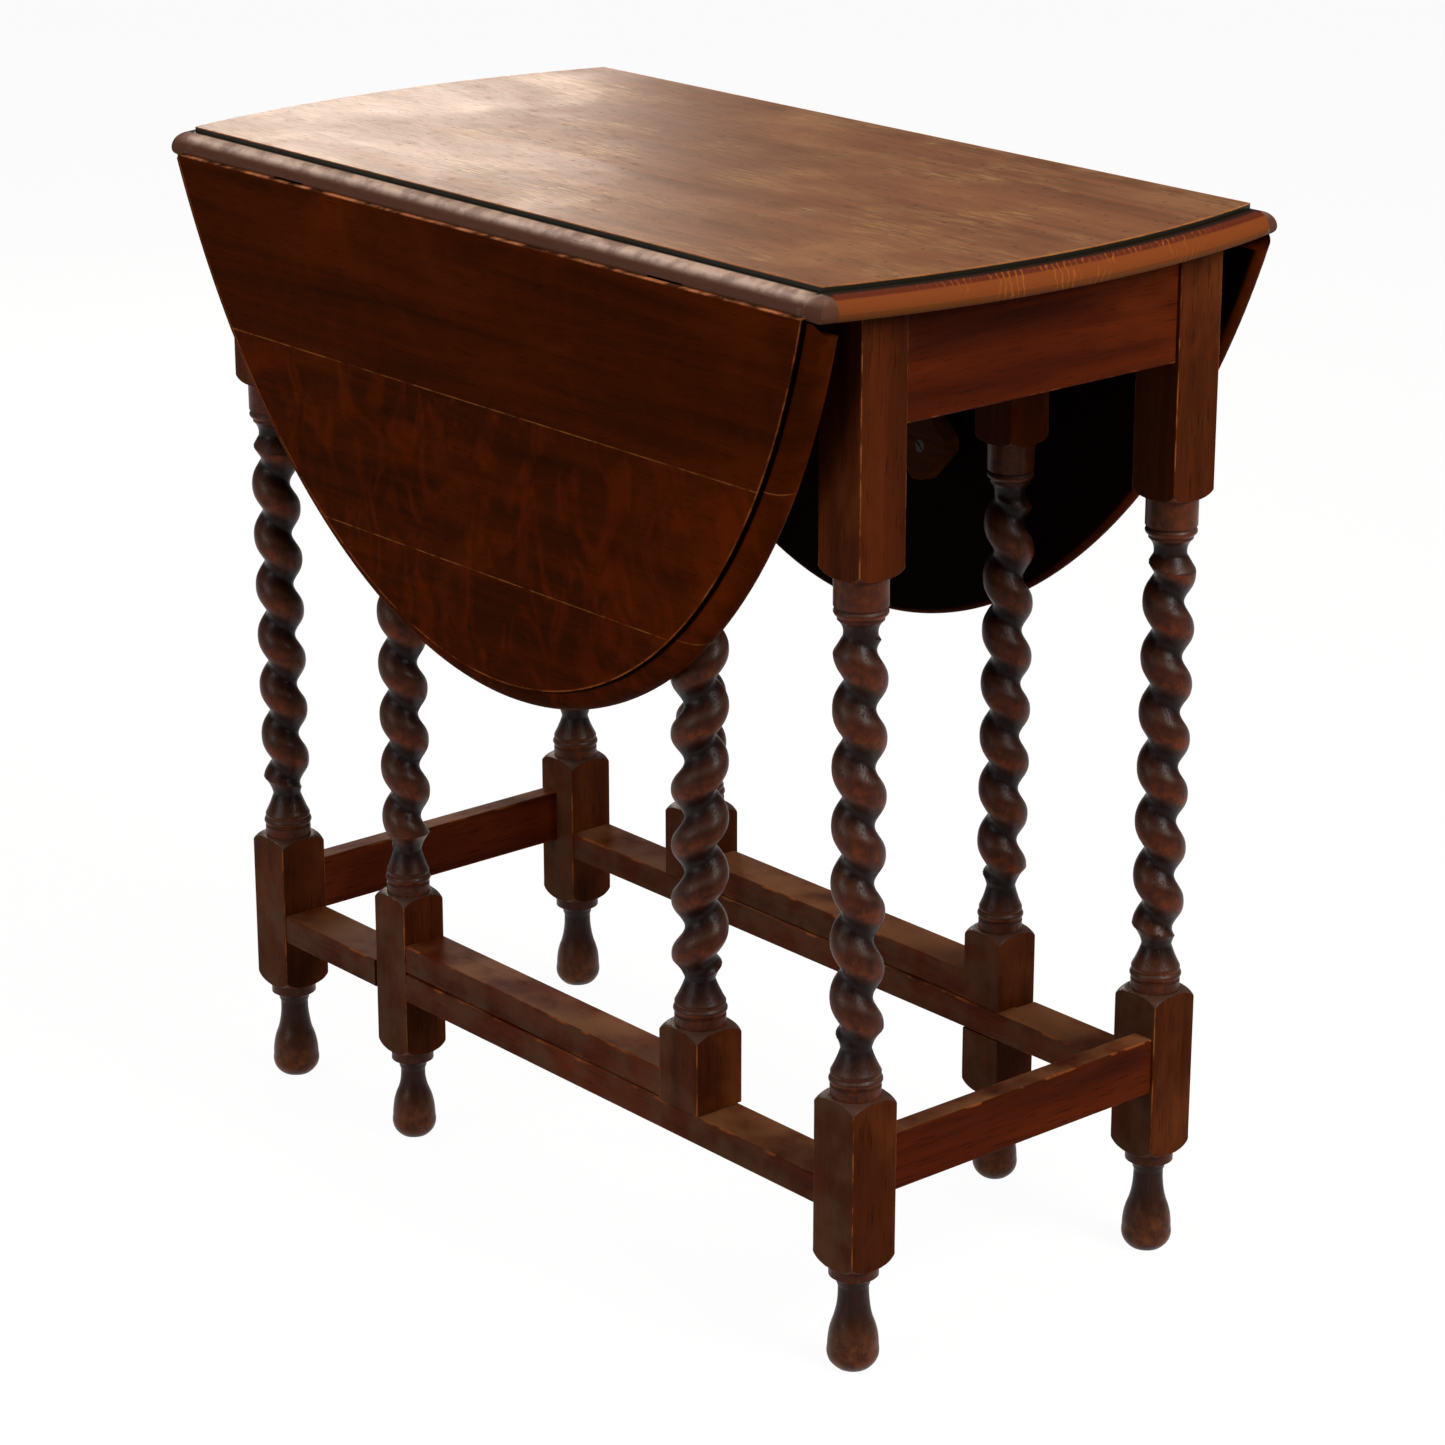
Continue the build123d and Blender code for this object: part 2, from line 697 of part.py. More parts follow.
for corner_name, crest_angle in start_angle.items():
    side_y = -1 if corner_name.startswith("near") else 1
    side_x = 1 if corner_name.endswith("right") else -1
    leg_blank = twisted_piece(
        leg_block,
        twist_crest,
        0,
        foot_height,
        lower_block_top,
        underside - upper_block,
        underside,
        crest_angle,
        -1,
    )
    side_mortise_x = side_x * (inner_face_x + mortise_depth / 2)
    end_mortise_y = side_y * (inner_face_y + mortise_depth / 2)
    with BuildPart() as corner_leg:
        with Locations((side_x * leg_x, side_y * leg_y, 0)):
            add(leg_blank)
        with Locations((side_mortise_x, side_y * leg_y, apron_middle)):
            Box(mortise_depth, apron_tenon_thickness, apron_tenon_depth, mode=Mode.SUBTRACT)
        with Locations((side_mortise_x, side_y * leg_y, side_stretcher_middle)):
            Box(mortise_depth, side_tenon_width, side_tenon_thickness, mode=Mode.SUBTRACT)
        with Locations((side_x * end_apron_place, end_mortise_y, apron_middle)):
            Box(apron_tenon_thickness, mortise_depth, apron_tenon_depth, mode=Mode.SUBTRACT)
        with Locations((side_x * end_stretcher_place, end_mortise_y, end_stretcher_middle)):
            Box(end_tenon_thickness, mortise_depth, end_tenon_depth, mode=Mode.SUBTRACT)
    keep(corner_leg.part, f"{corner_name}_leg")

# Gates: a leg and a pivot post joined by two rails
gate_leg_inner = -gate_leg_place + gate_block / 2
post_inner = pivot_place - post_block / 2
gate_leg_tenon = gate_block / 2 - gate_tenon_off_center
post_tenon = post_block / 2 - gate_tenon_off_center
gate_tenon = (gate_tenon_width, gate_tenon_thickness)
top_rail_bottom = post_top - gate_top_rail_drop - gate_top_rail_depth
gate_bottom_rail = rail(
    gate_leg_inner,
    post_inner,
    leg_y,
    gate_bottom,
    gate_bottom_rail_width,
    gate_bottom_rail_thickness,
    gate_tenon,
    gate_leg_tenon,
    post_tenon,
)
gate_top_rail = rail(
    gate_leg_inner,
    post_inner,
    leg_y,
    top_rail_bottom,
    gate_top_rail_width,
    gate_top_rail_depth,
    gate_tenon,
    gate_leg_tenon,
    post_tenon,
)
gate_rail_middles = (
    gate_bottom + gate_bottom_rail_thickness / 2,
    top_rail_bottom + gate_top_rail_depth / 2,
)

with BuildPart() as pivot_pins:
    with Locations(
        (pivot_place, -leg_y, gate_bottom + pivot_in_post),
        (pivot_place, -leg_y, apron_bottom + pivot_in_rail),
    ):
        Cylinder(
            pivot_diameter / 2,
            pivot_in_post + pivot_in_rail + gate_lift,
            align=(Align.CENTER, Align.CENTER, Align.MAX),
        )

for side, turn in (("near", Rot(0, 0, 0)), ("far", half_turn)):
    gate_leg_blank = twisted_piece(
        gate_block,
        twist_crest,
        0,
        gate_foot_height,
        gate_lower_block_top,
        underside - gate_upper_block,
        gate_leg_top,
        gate_start_angle[side],
        -1,
    )
    with BuildPart() as gate_leg:
        with Locations((-gate_leg_place, -leg_y, 0)):
            add(gate_leg_blank)
        with Locations((-gate_leg_place, -leg_y - lap_gap / 2, side_stretcher_middle)):
            Box(
                gate_block + overcut,
                gate_block,
                side_stretcher_thickness + 2 * gate_lift,
                align=(Align.CENTER, Align.MIN, Align.CENTER),
                mode=Mode.SUBTRACT,
            )
        with Locations((-gate_leg_place, -leg_y - lap_gap / 2, apron_bottom - gate_lift)):
            Box(
                gate_block + overcut,
                gate_block,
                apron_depth + overcut,
                align=(Align.CENTER, Align.MIN, Align.MIN),
                mode=Mode.SUBTRACT,
            )
        with Locations(*[(gate_leg_inner, -leg_y, height) for height in gate_rail_middles]):
            Box(
                gate_leg_tenon + mortise_spare,
                gate_tenon_width,
                gate_tenon_thickness,
                align=(Align.MAX, Align.CENTER, Align.CENTER),
                mode=Mode.SUBTRACT,
            )
    post_blank = twisted_piece(
        post_block,
        post_twist_crest,
        gate_bottom,
        gate_bottom,
        lower_block_top,
        underside - upper_block,
        post_top,
        post_start_angle[side],
        1,
    )
    with BuildPart() as pivot_post:
        with Locations((pivot_place, -leg_y, 0)):
            add(post_blank)
        with Locations(*[(post_inner, -leg_y, height) for height in gate_rail_middles]):
            Box(
                post_tenon + mortise_spare,
                gate_tenon_width,
                gate_tenon_thickness,
                align=(Align.MIN, Align.CENTER, Align.CENTER),
                mode=Mode.SUBTRACT,
            )
        with Locations((pivot_place, -leg_y, gate_bottom)):
            Cylinder(
                pivot_hole,
                pivot_in_post + mortise_spare,
                align=(Align.CENTER, Align.CENTER, Align.MIN),
                mode=Mode.SUBTRACT,
            )
        with Locations((pivot_place, -leg_y, post_top)):
            Cylinder(
                pivot_hole,
                pivot_in_post + mortise_spare,
                align=(Align.CENTER, Align.CENTER, Align.MAX),
                mode=Mode.SUBTRACT,
            )
    keep(turn * gate_leg.part, f"{side}_gate_leg")
    keep(turn * pivot_post.part, f"{side}_pivot_post")
    keep(turn * gate_bottom_rail, f"{side}_gate_bottom_rail")
    keep(turn * gate_top_rail, f"{side}_gate_top_rail")
    keep(turn * pivot_pins.part, f"{side}_gate_pivots")
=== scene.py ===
import json
import math

import bpy
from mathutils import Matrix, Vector


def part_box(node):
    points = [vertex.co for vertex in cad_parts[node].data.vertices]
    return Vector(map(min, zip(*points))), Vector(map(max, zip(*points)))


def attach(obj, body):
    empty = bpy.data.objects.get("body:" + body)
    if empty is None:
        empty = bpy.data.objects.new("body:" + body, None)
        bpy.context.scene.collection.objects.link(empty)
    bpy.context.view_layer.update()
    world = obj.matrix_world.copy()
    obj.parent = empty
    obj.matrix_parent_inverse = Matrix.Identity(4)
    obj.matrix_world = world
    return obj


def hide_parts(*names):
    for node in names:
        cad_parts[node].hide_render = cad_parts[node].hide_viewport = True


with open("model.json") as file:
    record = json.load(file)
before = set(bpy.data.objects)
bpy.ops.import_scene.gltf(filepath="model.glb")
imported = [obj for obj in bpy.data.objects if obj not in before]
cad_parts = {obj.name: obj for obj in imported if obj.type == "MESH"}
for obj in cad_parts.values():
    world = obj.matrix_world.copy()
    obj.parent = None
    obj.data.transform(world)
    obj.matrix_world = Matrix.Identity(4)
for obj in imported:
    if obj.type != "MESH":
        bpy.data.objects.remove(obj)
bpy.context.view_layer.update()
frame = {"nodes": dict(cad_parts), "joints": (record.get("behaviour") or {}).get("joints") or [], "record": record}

# Gateleg drop leaf table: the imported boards, rails and iron get their finishes here, and the eight
# turned pieces are carved again as smooth meshes. Lengths are in metres unless a note says otherwise.
nodes = frame["nodes"]
slotOf = {part["node"]: part["material_slot"] for part in frame["record"]["subparts"]}
bodies = frame["record"]["behaviour"]["bodies"]
bodyOf = {node: body for body, members in bodies.items() for node in members}
mm = 0.001
print("frame loaded:", len(nodes), "nodes")


def linear(code):
    values = [int(code[i:i + 2], 16) / 255 for i in (1, 3, 5)]
    return [v / 12.92 if v <= 0.04045 else ((v + 0.055) / 1.055) ** 2.4 for v in values] + [1]


def addNode(tree, kind, inputs={}, out=0, stops=(), **settings):
    node = tree.nodes.new(kind)
    for key, value in settings.items():
        setattr(node, key, value)
    for socket, value in inputs.items():
        if isinstance(value, bpy.types.NodeSocket):
            tree.links.new(value, node.inputs[socket])
        else:
            node.inputs[socket].default_value = value
    for i, (place, color) in enumerate(stops):
        stop = node.color_ramp.elements[i]
        stop.position = place
        stop.color = linear(color)
    return node.outputs[out] if node.outputs else node


soft = {"interpolation_type": "SMOOTHSTEP"}  # Map Range that eases in and out
rgba = {"out": 2, "data_type": "RGBA"}  # Mix of two colours, 6 and 7, by the share in 0
times = {"operation": "MULTIPLY"}

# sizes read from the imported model
leafHinge = next(joint for joint in frame["joints"] if joint["name"] == "near_leaf_hinge")
hingeLine = abs(leafHinge["pos_m"][1])
axisHeight = leafHinge["pos_m"][2]
leafSwing = math.radians(leafHinge["range_deg"][1])
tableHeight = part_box("centre_board")[1].z
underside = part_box("centre_board")[0].z
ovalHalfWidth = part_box("centre_board")[1].x

# Turned pieces. An outline row is the distance inside the block's face, a height, and how far the
# curve that leads there swells outwards, all in millimetres.
outline = {
    "footBulb": [(8, 0, 0), (2.2, 15, 2.6), (6, 35, 1)],  # up from the floor
    "footNeck": [(8.9, 18, -0.8), (8, 13, -0.4), (2.6, 7, -1.6), (2.6, 0, 0)],  # down from the block
    "lowerBeads": [  # up from the lower block
        (2.4, 0, 2.4), (2.4, 7, 0), (3.1, 7, 0), (3.1, 8.2, 0), (3.1, 14, 1.6), (2.6, 15, 0),
        (2.6, 16.5, 0)],
    "upperBeads": [  # down from the upper block
        (4.1, 28, -1.6), (4.1, 26, 0), (3.3, 25.5, 0), (3.3, 20, 1.7), (3.3, 19, 0), (1.6, 19, 0),
        (1.6, 0, 0)],
    "shoulder": (9, 2.4), "footShoulder": (13, 3),  # height and swell
    "lowerNeck": 32, "lowerWaist": 10.3, "upperNeck": 39, "upperWaist": 11.4,
    "runIn": (14, -1.2), "runOut": (11, 0), "sweep": -0.4,
    "spare": 0.2, "cornerSpare": 1, "ringStep": 1.2,
}
twist = {
    "pitch": 38.57, "valley": 10.4, "fullness": 1.1,
    "columns": 96, "cornerCrowding": 0.7, "arrisPower": 36,
}
legKind = {"foot": 73.5, "lowerTop": 193.5, "upperBottom": 540, "crest": 17.6, "hand": -1}
gateKind = {"foot": 67.5, "lowerTop": 191.5, "upperBottom": 546, "crest": 17.6, "hand": -1}
postKind = {"foot": None, "lowerTop": 193.5, "upperBottom": 540, "crest": 19.3, "hand": 1}
turned = {  # each piece's kind and the angle of its crest at the foot of the twist, in degrees
    "near_right_leg": (legKind, 194.2), "far_right_leg": (legKind, 328.7),
    "near_left_leg": (legKind, 305.7), "far_left_leg": (legKind, 60.0),
    "near_gate_leg": (gateKind, 107.7), "far_gate_leg": (gateKind, 183.1),
    "near_pivot_post": (postKind, 70.0), "far_pivot_post": (postKind, 239.0),
}
carving = {  # millimetres, degrees and a share, and for the dents a Map Range node's numbers by socket
    "wear": 0.35, "dentSize": 14, "dentBand": {1: 0.25, 2: 0.75, 3: -1.0, 4: 0.0}, "mergeGap": 0.01,
    "blockMargin": 0.001, "blockShare": 0.6, "sharpEdge": 35, "lapGap": 0.3, "lapLift": 0.8,
}


def outlineRows(kind, half, base, tip):
    # the whole outline from floor to tip, as (radius, height, swell) in millimetres
    corner = half * math.sqrt(2) + outline["cornerSpare"]
    rows = [(0, base, 0)]
    if kind["foot"]:
        rows += [(half - inset, height, swell) for inset, height, swell in outline["footBulb"]]
        rows += [(half - inset, kind["foot"] - drop, swell) for inset, drop, swell in outline["footNeck"]]
        rows += [(corner, kind["foot"] + outline["footShoulder"][0], outline["footShoulder"][1])]
    else:
        rows += [(corner, base, 0)]
    low = kind["lowerTop"] + outline["lowerNeck"]
    high = kind["upperBottom"] - outline["upperNeck"]
    full = kind["crest"] + outline["spare"]
    rise, swell = outline["shoulder"]
    rows += [(corner, kind["lowerTop"] - rise, 0)]
    rows += [(half - inset, kind["lowerTop"] + up, bow) for inset, up, bow in outline["lowerBeads"]]
    rows += [(outline["lowerWaist"], low, outline["sweep"])]
    rows += [(full, low + outline["runIn"][0], outline["runIn"][1])]
    rows += [(full, high - outline["runOut"][0], 0), (outline["upperWaist"], high, outline["runOut"][1])]
    rows += [
        (half - inset, kind["upperBottom"] - drop, bow) for inset, drop, bow in outline["upperBeads"]]
    rows += [(corner, kind["upperBottom"] + rise, swell), (corner, tip, 0), (0, tip, 0)]
    return rows, low, high


def outlineRings(rows, low, high):
    # one point per ring of the mesh: close together on curves and in the twist, none on a plain block
    rings = [rows[0][:2]]
    for start, end in zip(rows, rows[1:]):
        run = Vector((end[0] - start[0], end[1] - start[1]))
        curved = end[2] != 0 or low <= start[1] <= end[1] <= high
        count = max(1, math.ceil(run.length / outline["ringStep"])) if curved else 1
        outwards = Vector((run.y, -run.x)).normalized()
        for i in range(1, count + 1):
            t = i / count
            bulge = end[2] * 4 * t * (1 - t)  # a parabola, highest half way
            point = Vector(start[:2]) + run * t + outwards * bulge
            rings.append(tuple(point))
    return rings


def turnedTree():
    # a grid is wrapped round the piece: each row of it is one ring of the outline, cut back to the
    # square of the block and to the winding strand
    tree = bpy.data.node_groups.new("turnedPiece", "GeometryNodeTree")
    sockets = tree.interface
    sockets.new_socket("Geometry", in_out="INPUT", socket_type="NodeSocketGeometry")
    for name in (
            "Half", "Crest", "Valley", "Fullness", "Pitch", "Start", "Hand",
            "Low", "High", "Wear", "Seed"):
        sockets.new_socket(name, in_out="INPUT", socket_type="NodeSocketFloat")
    for name in ("Place", "Lower Lap", "Lower Lap Size", "Upper Lap", "Upper Lap Size"):
        sockets.new_socket(name, in_out="INPUT", socket_type="NodeSocketVector")
    sockets.new_socket("Lapped", in_out="INPUT", socket_type="NodeSocketBool")
    for name in ("Carved Oak", "Block Oak"):
        sockets.new_socket(name, in_out="INPUT", socket_type="NodeSocketMaterial")
    sockets.new_socket("Geometry", in_out="OUTPUT", socket_type="NodeSocketGeometry")
    given = {socket.name: socket for socket in tree.nodes.new("NodeGroupInput").outputs}

    columns = twist["columns"]
    rings = addNode(tree, "GeometryNodeAttributeDomainSize", {
        "Geometry": given["Geometry"]}, "Point Count")
    grid = addNode(tree, "GeometryNodeMeshGrid", {"Vertices X": columns + 1, "Vertices Y": rings})
    index = addNode(tree, "GeometryNodeInputIndex")
    ring = addNode(tree, "ShaderNodeMath", {0: index, 1: rings}, operation="MODULO")
    column = addNode(tree, "ShaderNodeMath", {0: index, 1: rings}, operation="DIVIDE")
    column = addNode(tree, "ShaderNodeMath", {0: column}, operation="FLOOR")
    position = addNode(tree, "GeometryNodeInputPosition")
    point = addNode(tree, "GeometryNodeSampleIndex", {
        "Geometry": given["Geometry"], "Value": position, "Index": ring}, data_type="FLOAT_VECTOR")
    turning = addNode(tree, "ShaderNodeSeparateXYZ", {0: point}, "X")
    z = turning.node.outputs["Z"]

    # columns crowd towards the block's corners
    corners = 4
    even = addNode(tree, "ShaderNodeMath", {0: column, 1: math.tau / columns}, **times)
    crowd = addNode(tree, "ShaderNodeMath", {0: even, 1: corners}, **times)
    crowd = addNode(tree, "ShaderNodeMath", {0: crowd}, operation="SINE")
    crowding = twist["cornerCrowding"] / corners
    angle = addNode(tree, "ShaderNodeMath", {0: crowd, 1: crowding, 2: even}, operation="MULTIPLY_ADD")
    cosine = addNode(tree, "ShaderNodeMath", {0: angle}, operation="COSINE")
    sine = addNode(tree, "ShaderNodeMath", {0: angle}, operation="SINE")
    cosSize = addNode(tree, "ShaderNodeMath", {0: cosine}, operation="ABSOLUTE")
    sinSize = addNode(tree, "ShaderNodeMath", {0: sine}, operation="ABSOLUTE")

    # the block: a square with its corners eased
    cosPower = addNode(tree, "ShaderNodeMath", {0: cosSize, 1: twist["arrisPower"]}, operation="POWER")
    sinPower = addNode(tree, "ShaderNodeMath", {0: sinSize, 1: twist["arrisPower"]}, operation="POWER")
    square = addNode(tree, "ShaderNodeMath", {0: cosPower, 1: sinPower}, operation="ADD")
    square = addNode(tree, "ShaderNodeMath", {
        0: square, 1: -1 / twist["arrisPower"]}, operation="POWER")
    square = addNode(tree, "ShaderNodeMath", {0: square, 1: given["Half"]}, **times)

    # the strand: one crest and one valley around, turned as it rises
    climb = addNode(tree, "ShaderNodeMath", {0: z, 1: given["Low"]}, operation="SUBTRACT")
    climb = addNode(tree, "ShaderNodeMath", {0: climb, 1: given["Pitch"]}, operation="DIVIDE")
    climb = addNode(tree, "ShaderNodeMath", {0: climb, 1: math.tau}, **times)
    climb = addNode(tree, "ShaderNodeMath", {
        0: climb, 1: given["Hand"], 2: given["Start"]}, operation="MULTIPLY_ADD")
    phase = addNode(tree, "ShaderNodeMath", {0: angle, 1: climb}, operation="SUBTRACT")
    wave = addNode(tree, "ShaderNodeMath", {0: phase}, operation="COSINE")
    flank = addNode(tree, "ShaderNodeMath", {0: phase}, operation="SINE")
    flank = addNode(tree, "ShaderNodeMath", {0: flank, 1: flank}, **times)
    flank = addNode(tree, "ShaderNodeMath", {0: flank, 1: given["Fullness"]}, **times)
    strand = addNode(tree, "ShaderNodeMapRange", {
        0: wave, 1: -1.0, 2: 1.0, 3: given["Valley"], 4: given["Crest"]})
    strand = addNode(tree, "ShaderNodeMath", {0: strand, 1: flank}, operation="ADD")
    above = addNode(tree, "FunctionNodeCompare", {0: z, 1: given["Low"]}, operation="GREATER_EQUAL")
    below = addNode(tree, "FunctionNodeCompare", {0: z, 1: given["High"]}, operation="LESS_EQUAL")
    wound = addNode(tree, "FunctionNodeBooleanMath", {0: above, 1: below}, operation="AND")
    unlimited = 1.0  # outside the twist, more than any radius
    strand = addNode(tree, "GeometryNodeSwitch", {
        "Switch": wound, "False": unlimited, "True": strand}, input_type="FLOAT")

    radius = addNode(tree, "ShaderNodeMath", {0: turning, 1: strand}, operation="MINIMUM")
    margin = carving["blockMargin"] * mm
    face = addNode(tree, "ShaderNodeMath", {0: square, 1: margin}, operation="SUBTRACT")
    isBlock = addNode(tree, "FunctionNodeCompare", {0: radius, 1: face}, operation="GREATER_EQUAL")
    radius = addNode(tree, "ShaderNodeMath", {0: radius, 1: square}, operation="MINIMUM")
    x = addNode(tree, "ShaderNodeMath", {0: radius, 1: cosine}, **times)
    y = addNode(tree, "ShaderNodeMath", {0: radius, 1: sine}, **times)
    place = addNode(tree, "ShaderNodeCombineXYZ", {0: x, 1: y, 2: z})
    place = addNode(tree, "ShaderNodeVectorMath", {0: place, 1: given["Place"]}, operation="ADD")
    mesh = addNode(tree, "GeometryNodeSetPosition", {"Geometry": grid, "Position": place})

    # what the finishes read: 0 in the valley to 1 on the crest, and 1 along the arrises of the blocks
    ridge = addNode(tree, "ShaderNodeMapRange", {0: radius, 1: given["Valley"], 2: given["Crest"]})
    lesser = addNode(tree, "ShaderNodeMath", {0: cosSize, 1: sinSize}, operation="MINIMUM")
    greater = addNode(tree, "ShaderNodeMath", {0: cosSize, 1: sinSize}, operation="MAXIMUM")
    arris = addNode(tree, "ShaderNodeMath", {0: lesser, 1: greater}, operation="DIVIDE")
    for name, value in (("ridge", ridge), ("arris", arris), ("block", isBlock)):
        mesh = addNode(tree, "GeometryNodeStoreNamedAttribute", {
            "Geometry": mesh, "Name": name, "Value": value}, data_type="FLOAT", domain="POINT")
    mesh = addNode(tree, "GeometryNodeMergeByDistance", {
        "Geometry": mesh, "Distance": carving["mergeGap"] * mm})

    # old wood is never quite true: shallow dents and flats, a few tenths of a millimetre deep
    dents = addNode(tree, "ShaderNodeTexNoise", {
        "Vector": position, "W": given["Seed"], "Scale": 1 / (carving["dentSize"] * mm), "Detail": 3.0},
        noise_dimensions="4D")
    dents = addNode(tree, "ShaderNodeMapRange", {0: dents, **carving["dentBand"]})
    dents = addNode(tree, "ShaderNodeMath", {0: dents, 1: given["Wear"]}, **times)
    normal = addNode(tree, "GeometryNodeInputNormal")
    offset = addNode(tree, "ShaderNodeVectorMath", {0: normal, "Scale": dents}, operation="SCALE")
    mesh = addNode(tree, "GeometryNodeSetPosition", {"Geometry": mesh, "Offset": offset})

    # gate legs are halved where they cross the rails, and the cut faces count as block
    flat = addNode(tree, "GeometryNodeInputNamedAttribute", {"Name": "block"}, data_type="FLOAT")
    flat = addNode(tree, "FunctionNodeCompare", {
        0: flat, 1: carving["blockShare"]}, operation="GREATER_THAN")
    mesh = addNode(tree, "GeometryNodeStoreNamedAttribute", {
        "Geometry": mesh, "Name": "block", "Value": flat}, data_type="FLOAT", domain="FACE")
    laps = []
    for name in ("Lower Lap", "Upper Lap"):
        cube = addNode(tree, "GeometryNodeMeshCube", {"Size": given[name + " Size"]})
        cube = addNode(tree, "GeometryNodeStoreNamedAttribute", {
            "Geometry": cube, "Name": "block", "Value": 1.0}, data_type="FLOAT", domain="FACE")
        laps.append(addNode(tree, "GeometryNodeTransform", {
            "Geometry": cube, "Translation": given[name]}))
    halved = addNode(tree, "GeometryNodeMeshBoolean", {
        "Mesh 1": mesh}, operation="DIFFERENCE", solver="EXACT")
    for lap in laps:
        tree.links.new(lap, halved.node.inputs["Mesh 2"])
    mesh = addNode(tree, "GeometryNodeSwitch", {
        "Switch": given["Lapped"], "False": mesh, "True": halved}, input_type="GEOMETRY")

    mesh = addNode(tree, "GeometryNodeSetShadeSmooth", {"Geometry": mesh})
    bend = addNode(tree, "GeometryNodeInputMeshEdgeAngle")
    limit = math.radians(carving["sharpEdge"])
    sharp = addNode(tree, "FunctionNodeCompare", {0: bend, 1: limit}, operation="GREATER_THAN")
    mesh = addNode(tree, "GeometryNodeSetShadeSmooth", {
        "Geometry": mesh, "Selection": sharp, "Shade Smooth": False}, domain="EDGE")
    mesh = addNode(tree, "GeometryNodeRealizeInstances", {"Geometry": mesh})
    mesh = addNode(tree, "GeometryNodeSetMaterial", {"Geometry": mesh, "Material": given["Carved Oak"]})
    flat = addNode(tree, "GeometryNodeInputNamedAttribute", {"Name": "block"}, data_type="FLOAT")
    flat = addNode(tree, "FunctionNodeCompare", {
        0: flat, 1: carving["blockShare"]}, operation="GREATER_THAN")
    mesh = addNode(tree, "GeometryNodeSetMaterial", {
        "Geometry": mesh, "Selection": flat, "Material": given["Block Oak"]})
    addNode(tree, "NodeGroupOutput", {"Geometry": mesh})
    return tree


def carvePiece(node, seed, tree, carvedFinish, blockFinish):
    kind, start = turned[node]
    low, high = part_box(node)
    half = (high.x - low.x) / 2
    rows, twistLow, twistHigh = outlineRows(kind, half / mm, low.z / mm, high.z / mm)
    rings = outlineRings(rows, twistLow, twistHigh)
    mesh = bpy.data.meshes.new(node + "_outline")
    mesh.from_pydata(
        [(radius * mm, 0, height * mm) for radius, height in rings],
        [(i, i + 1) for i in range(len(rings) - 1)], [])
    piece = bpy.data.objects.new(node + "_carved", mesh)
    bpy.context.scene.collection.objects.link(piece)
    center = (low + high) / 2
    values = {
        "Half": half, "Crest": kind["crest"] * mm, "Valley": twist["valley"] * mm,
        "Fullness": twist["fullness"] * mm, "Pitch": twist["pitch"] * mm, "Start": math.radians(start),
        "Hand": float(kind["hand"]), "Low": twistLow * mm, "High": twistHigh * mm,
        "Wear": carving["wear"] * mm, "Seed": float(seed), "Place": (center.x, center.y, 0),
        "Carved Oak": carvedFinish, "Block Oak": blockFinish, "Lapped": kind is gateKind,
    }
    if kind is gateKind:
        side = node.split("_")[0]
        inwards = -math.copysign(1, center.y)
        width = 2 * half
        for lap, rail in (("Lower Lap", "side_stretcher"), ("Upper Lap", "side_apron")):
            bottom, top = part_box(f"{side}_{rail}")
            ends = (bottom.z - carving["lapLift"] * mm, top.z + carving["lapLift"] * mm)
            inner = center.y + inwards * (half - carving["lapGap"] * mm)
            values[lap] = (center.x, inner, sum(ends) / 2)
            values[lap + " Size"] = (2 * width, width, ends[1] - ends[0])
    modifier = piece.modifiers.new("turned", "NODES")
    modifier.node_group = tree
    sockets = {item.name: item.identifier for item in tree.interface.items_tree if item.in_out == "INPUT"}
    for name, value in values.items():
        modifier[sockets[name]] = value
    depsgraph = bpy.context.evaluated_depsgraph_get()
    piece.data = bpy.data.meshes.new_from_object(piece.evaluated_get(depsgraph))
    piece.modifiers.clear()
    bpy.data.meshes.remove(mesh)
    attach(piece, bodyOf[node])
    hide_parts(node)
    return piece


def newMaterial(name):
    material = bpy.data.materials.new(name)
    material.use_nodes = True
    material.node_tree.nodes.clear()
    return material, material.node_tree


def finishMaterial(tree, color, rough, height, look):
    bump = addNode(tree, "ShaderNodeBump", {
        "Strength": look["bump"], "Distance": look["bumpDepth"] * mm, "Height": height})
    shader = addNode(tree, "ShaderNodeBsdfPrincipled", {
        "Base Color": color, "Roughness": rough, "Normal": bump, "Specular IOR Level": look["specular"]})
    addNode(tree, "ShaderNodeOutputMaterial", {"Surface": shader})


# Dark stained oak under old wax: brown with darker pores along the grain, a slow change of tone from
# board to board, and a dull gloss that the pores break up. A pattern is its length along the grain and
# across it in millimetres, its detail and its distortion. Real pores are a fifth of a millimetre wide,
# and are drawn coarser so that they show. A band, here and below, is a Map Range node's numbers by
# socket: 1 and 2 are the low and high end of what comes in, 3 and 4 of what goes out, which is 0 to 1
# where they are left off. Plain sizes are in millimetres.
oak = {
    "dark": "#2a0f02", "mid": "#4c1e05", "light": "#6a2e0a", "pore": "#140601",
    "figure": ((300, 16, 16), 4, 0.5), "pores": ((20, 1.1, 1.1), 2, 0.0),
    "mottle": ((200, 100, 100), 3, 0.4), "seedShift": (3.7, 1.9, 2.3),
    "figureStops": (0.32, 0.68), "lightBand": {1: 0.48, 2: 0.78, 4: 0.8}, "poreBand": {1: 0.56, 2: 0.70},
    "poreDepth": 0.55, "poreRough": 0.12, "poreHeight": -0.6, "figureHeight": 0.4,
    "waxBand": {1: 0.25, 2: 0.75}, "roughLow": 0.40, "roughHigh": 0.56, "specular": 0.02,
    "bump": 0.35, "bumpDepth": 0.4, "rubDetail": 4.0, "rubRough": 0.5,
}


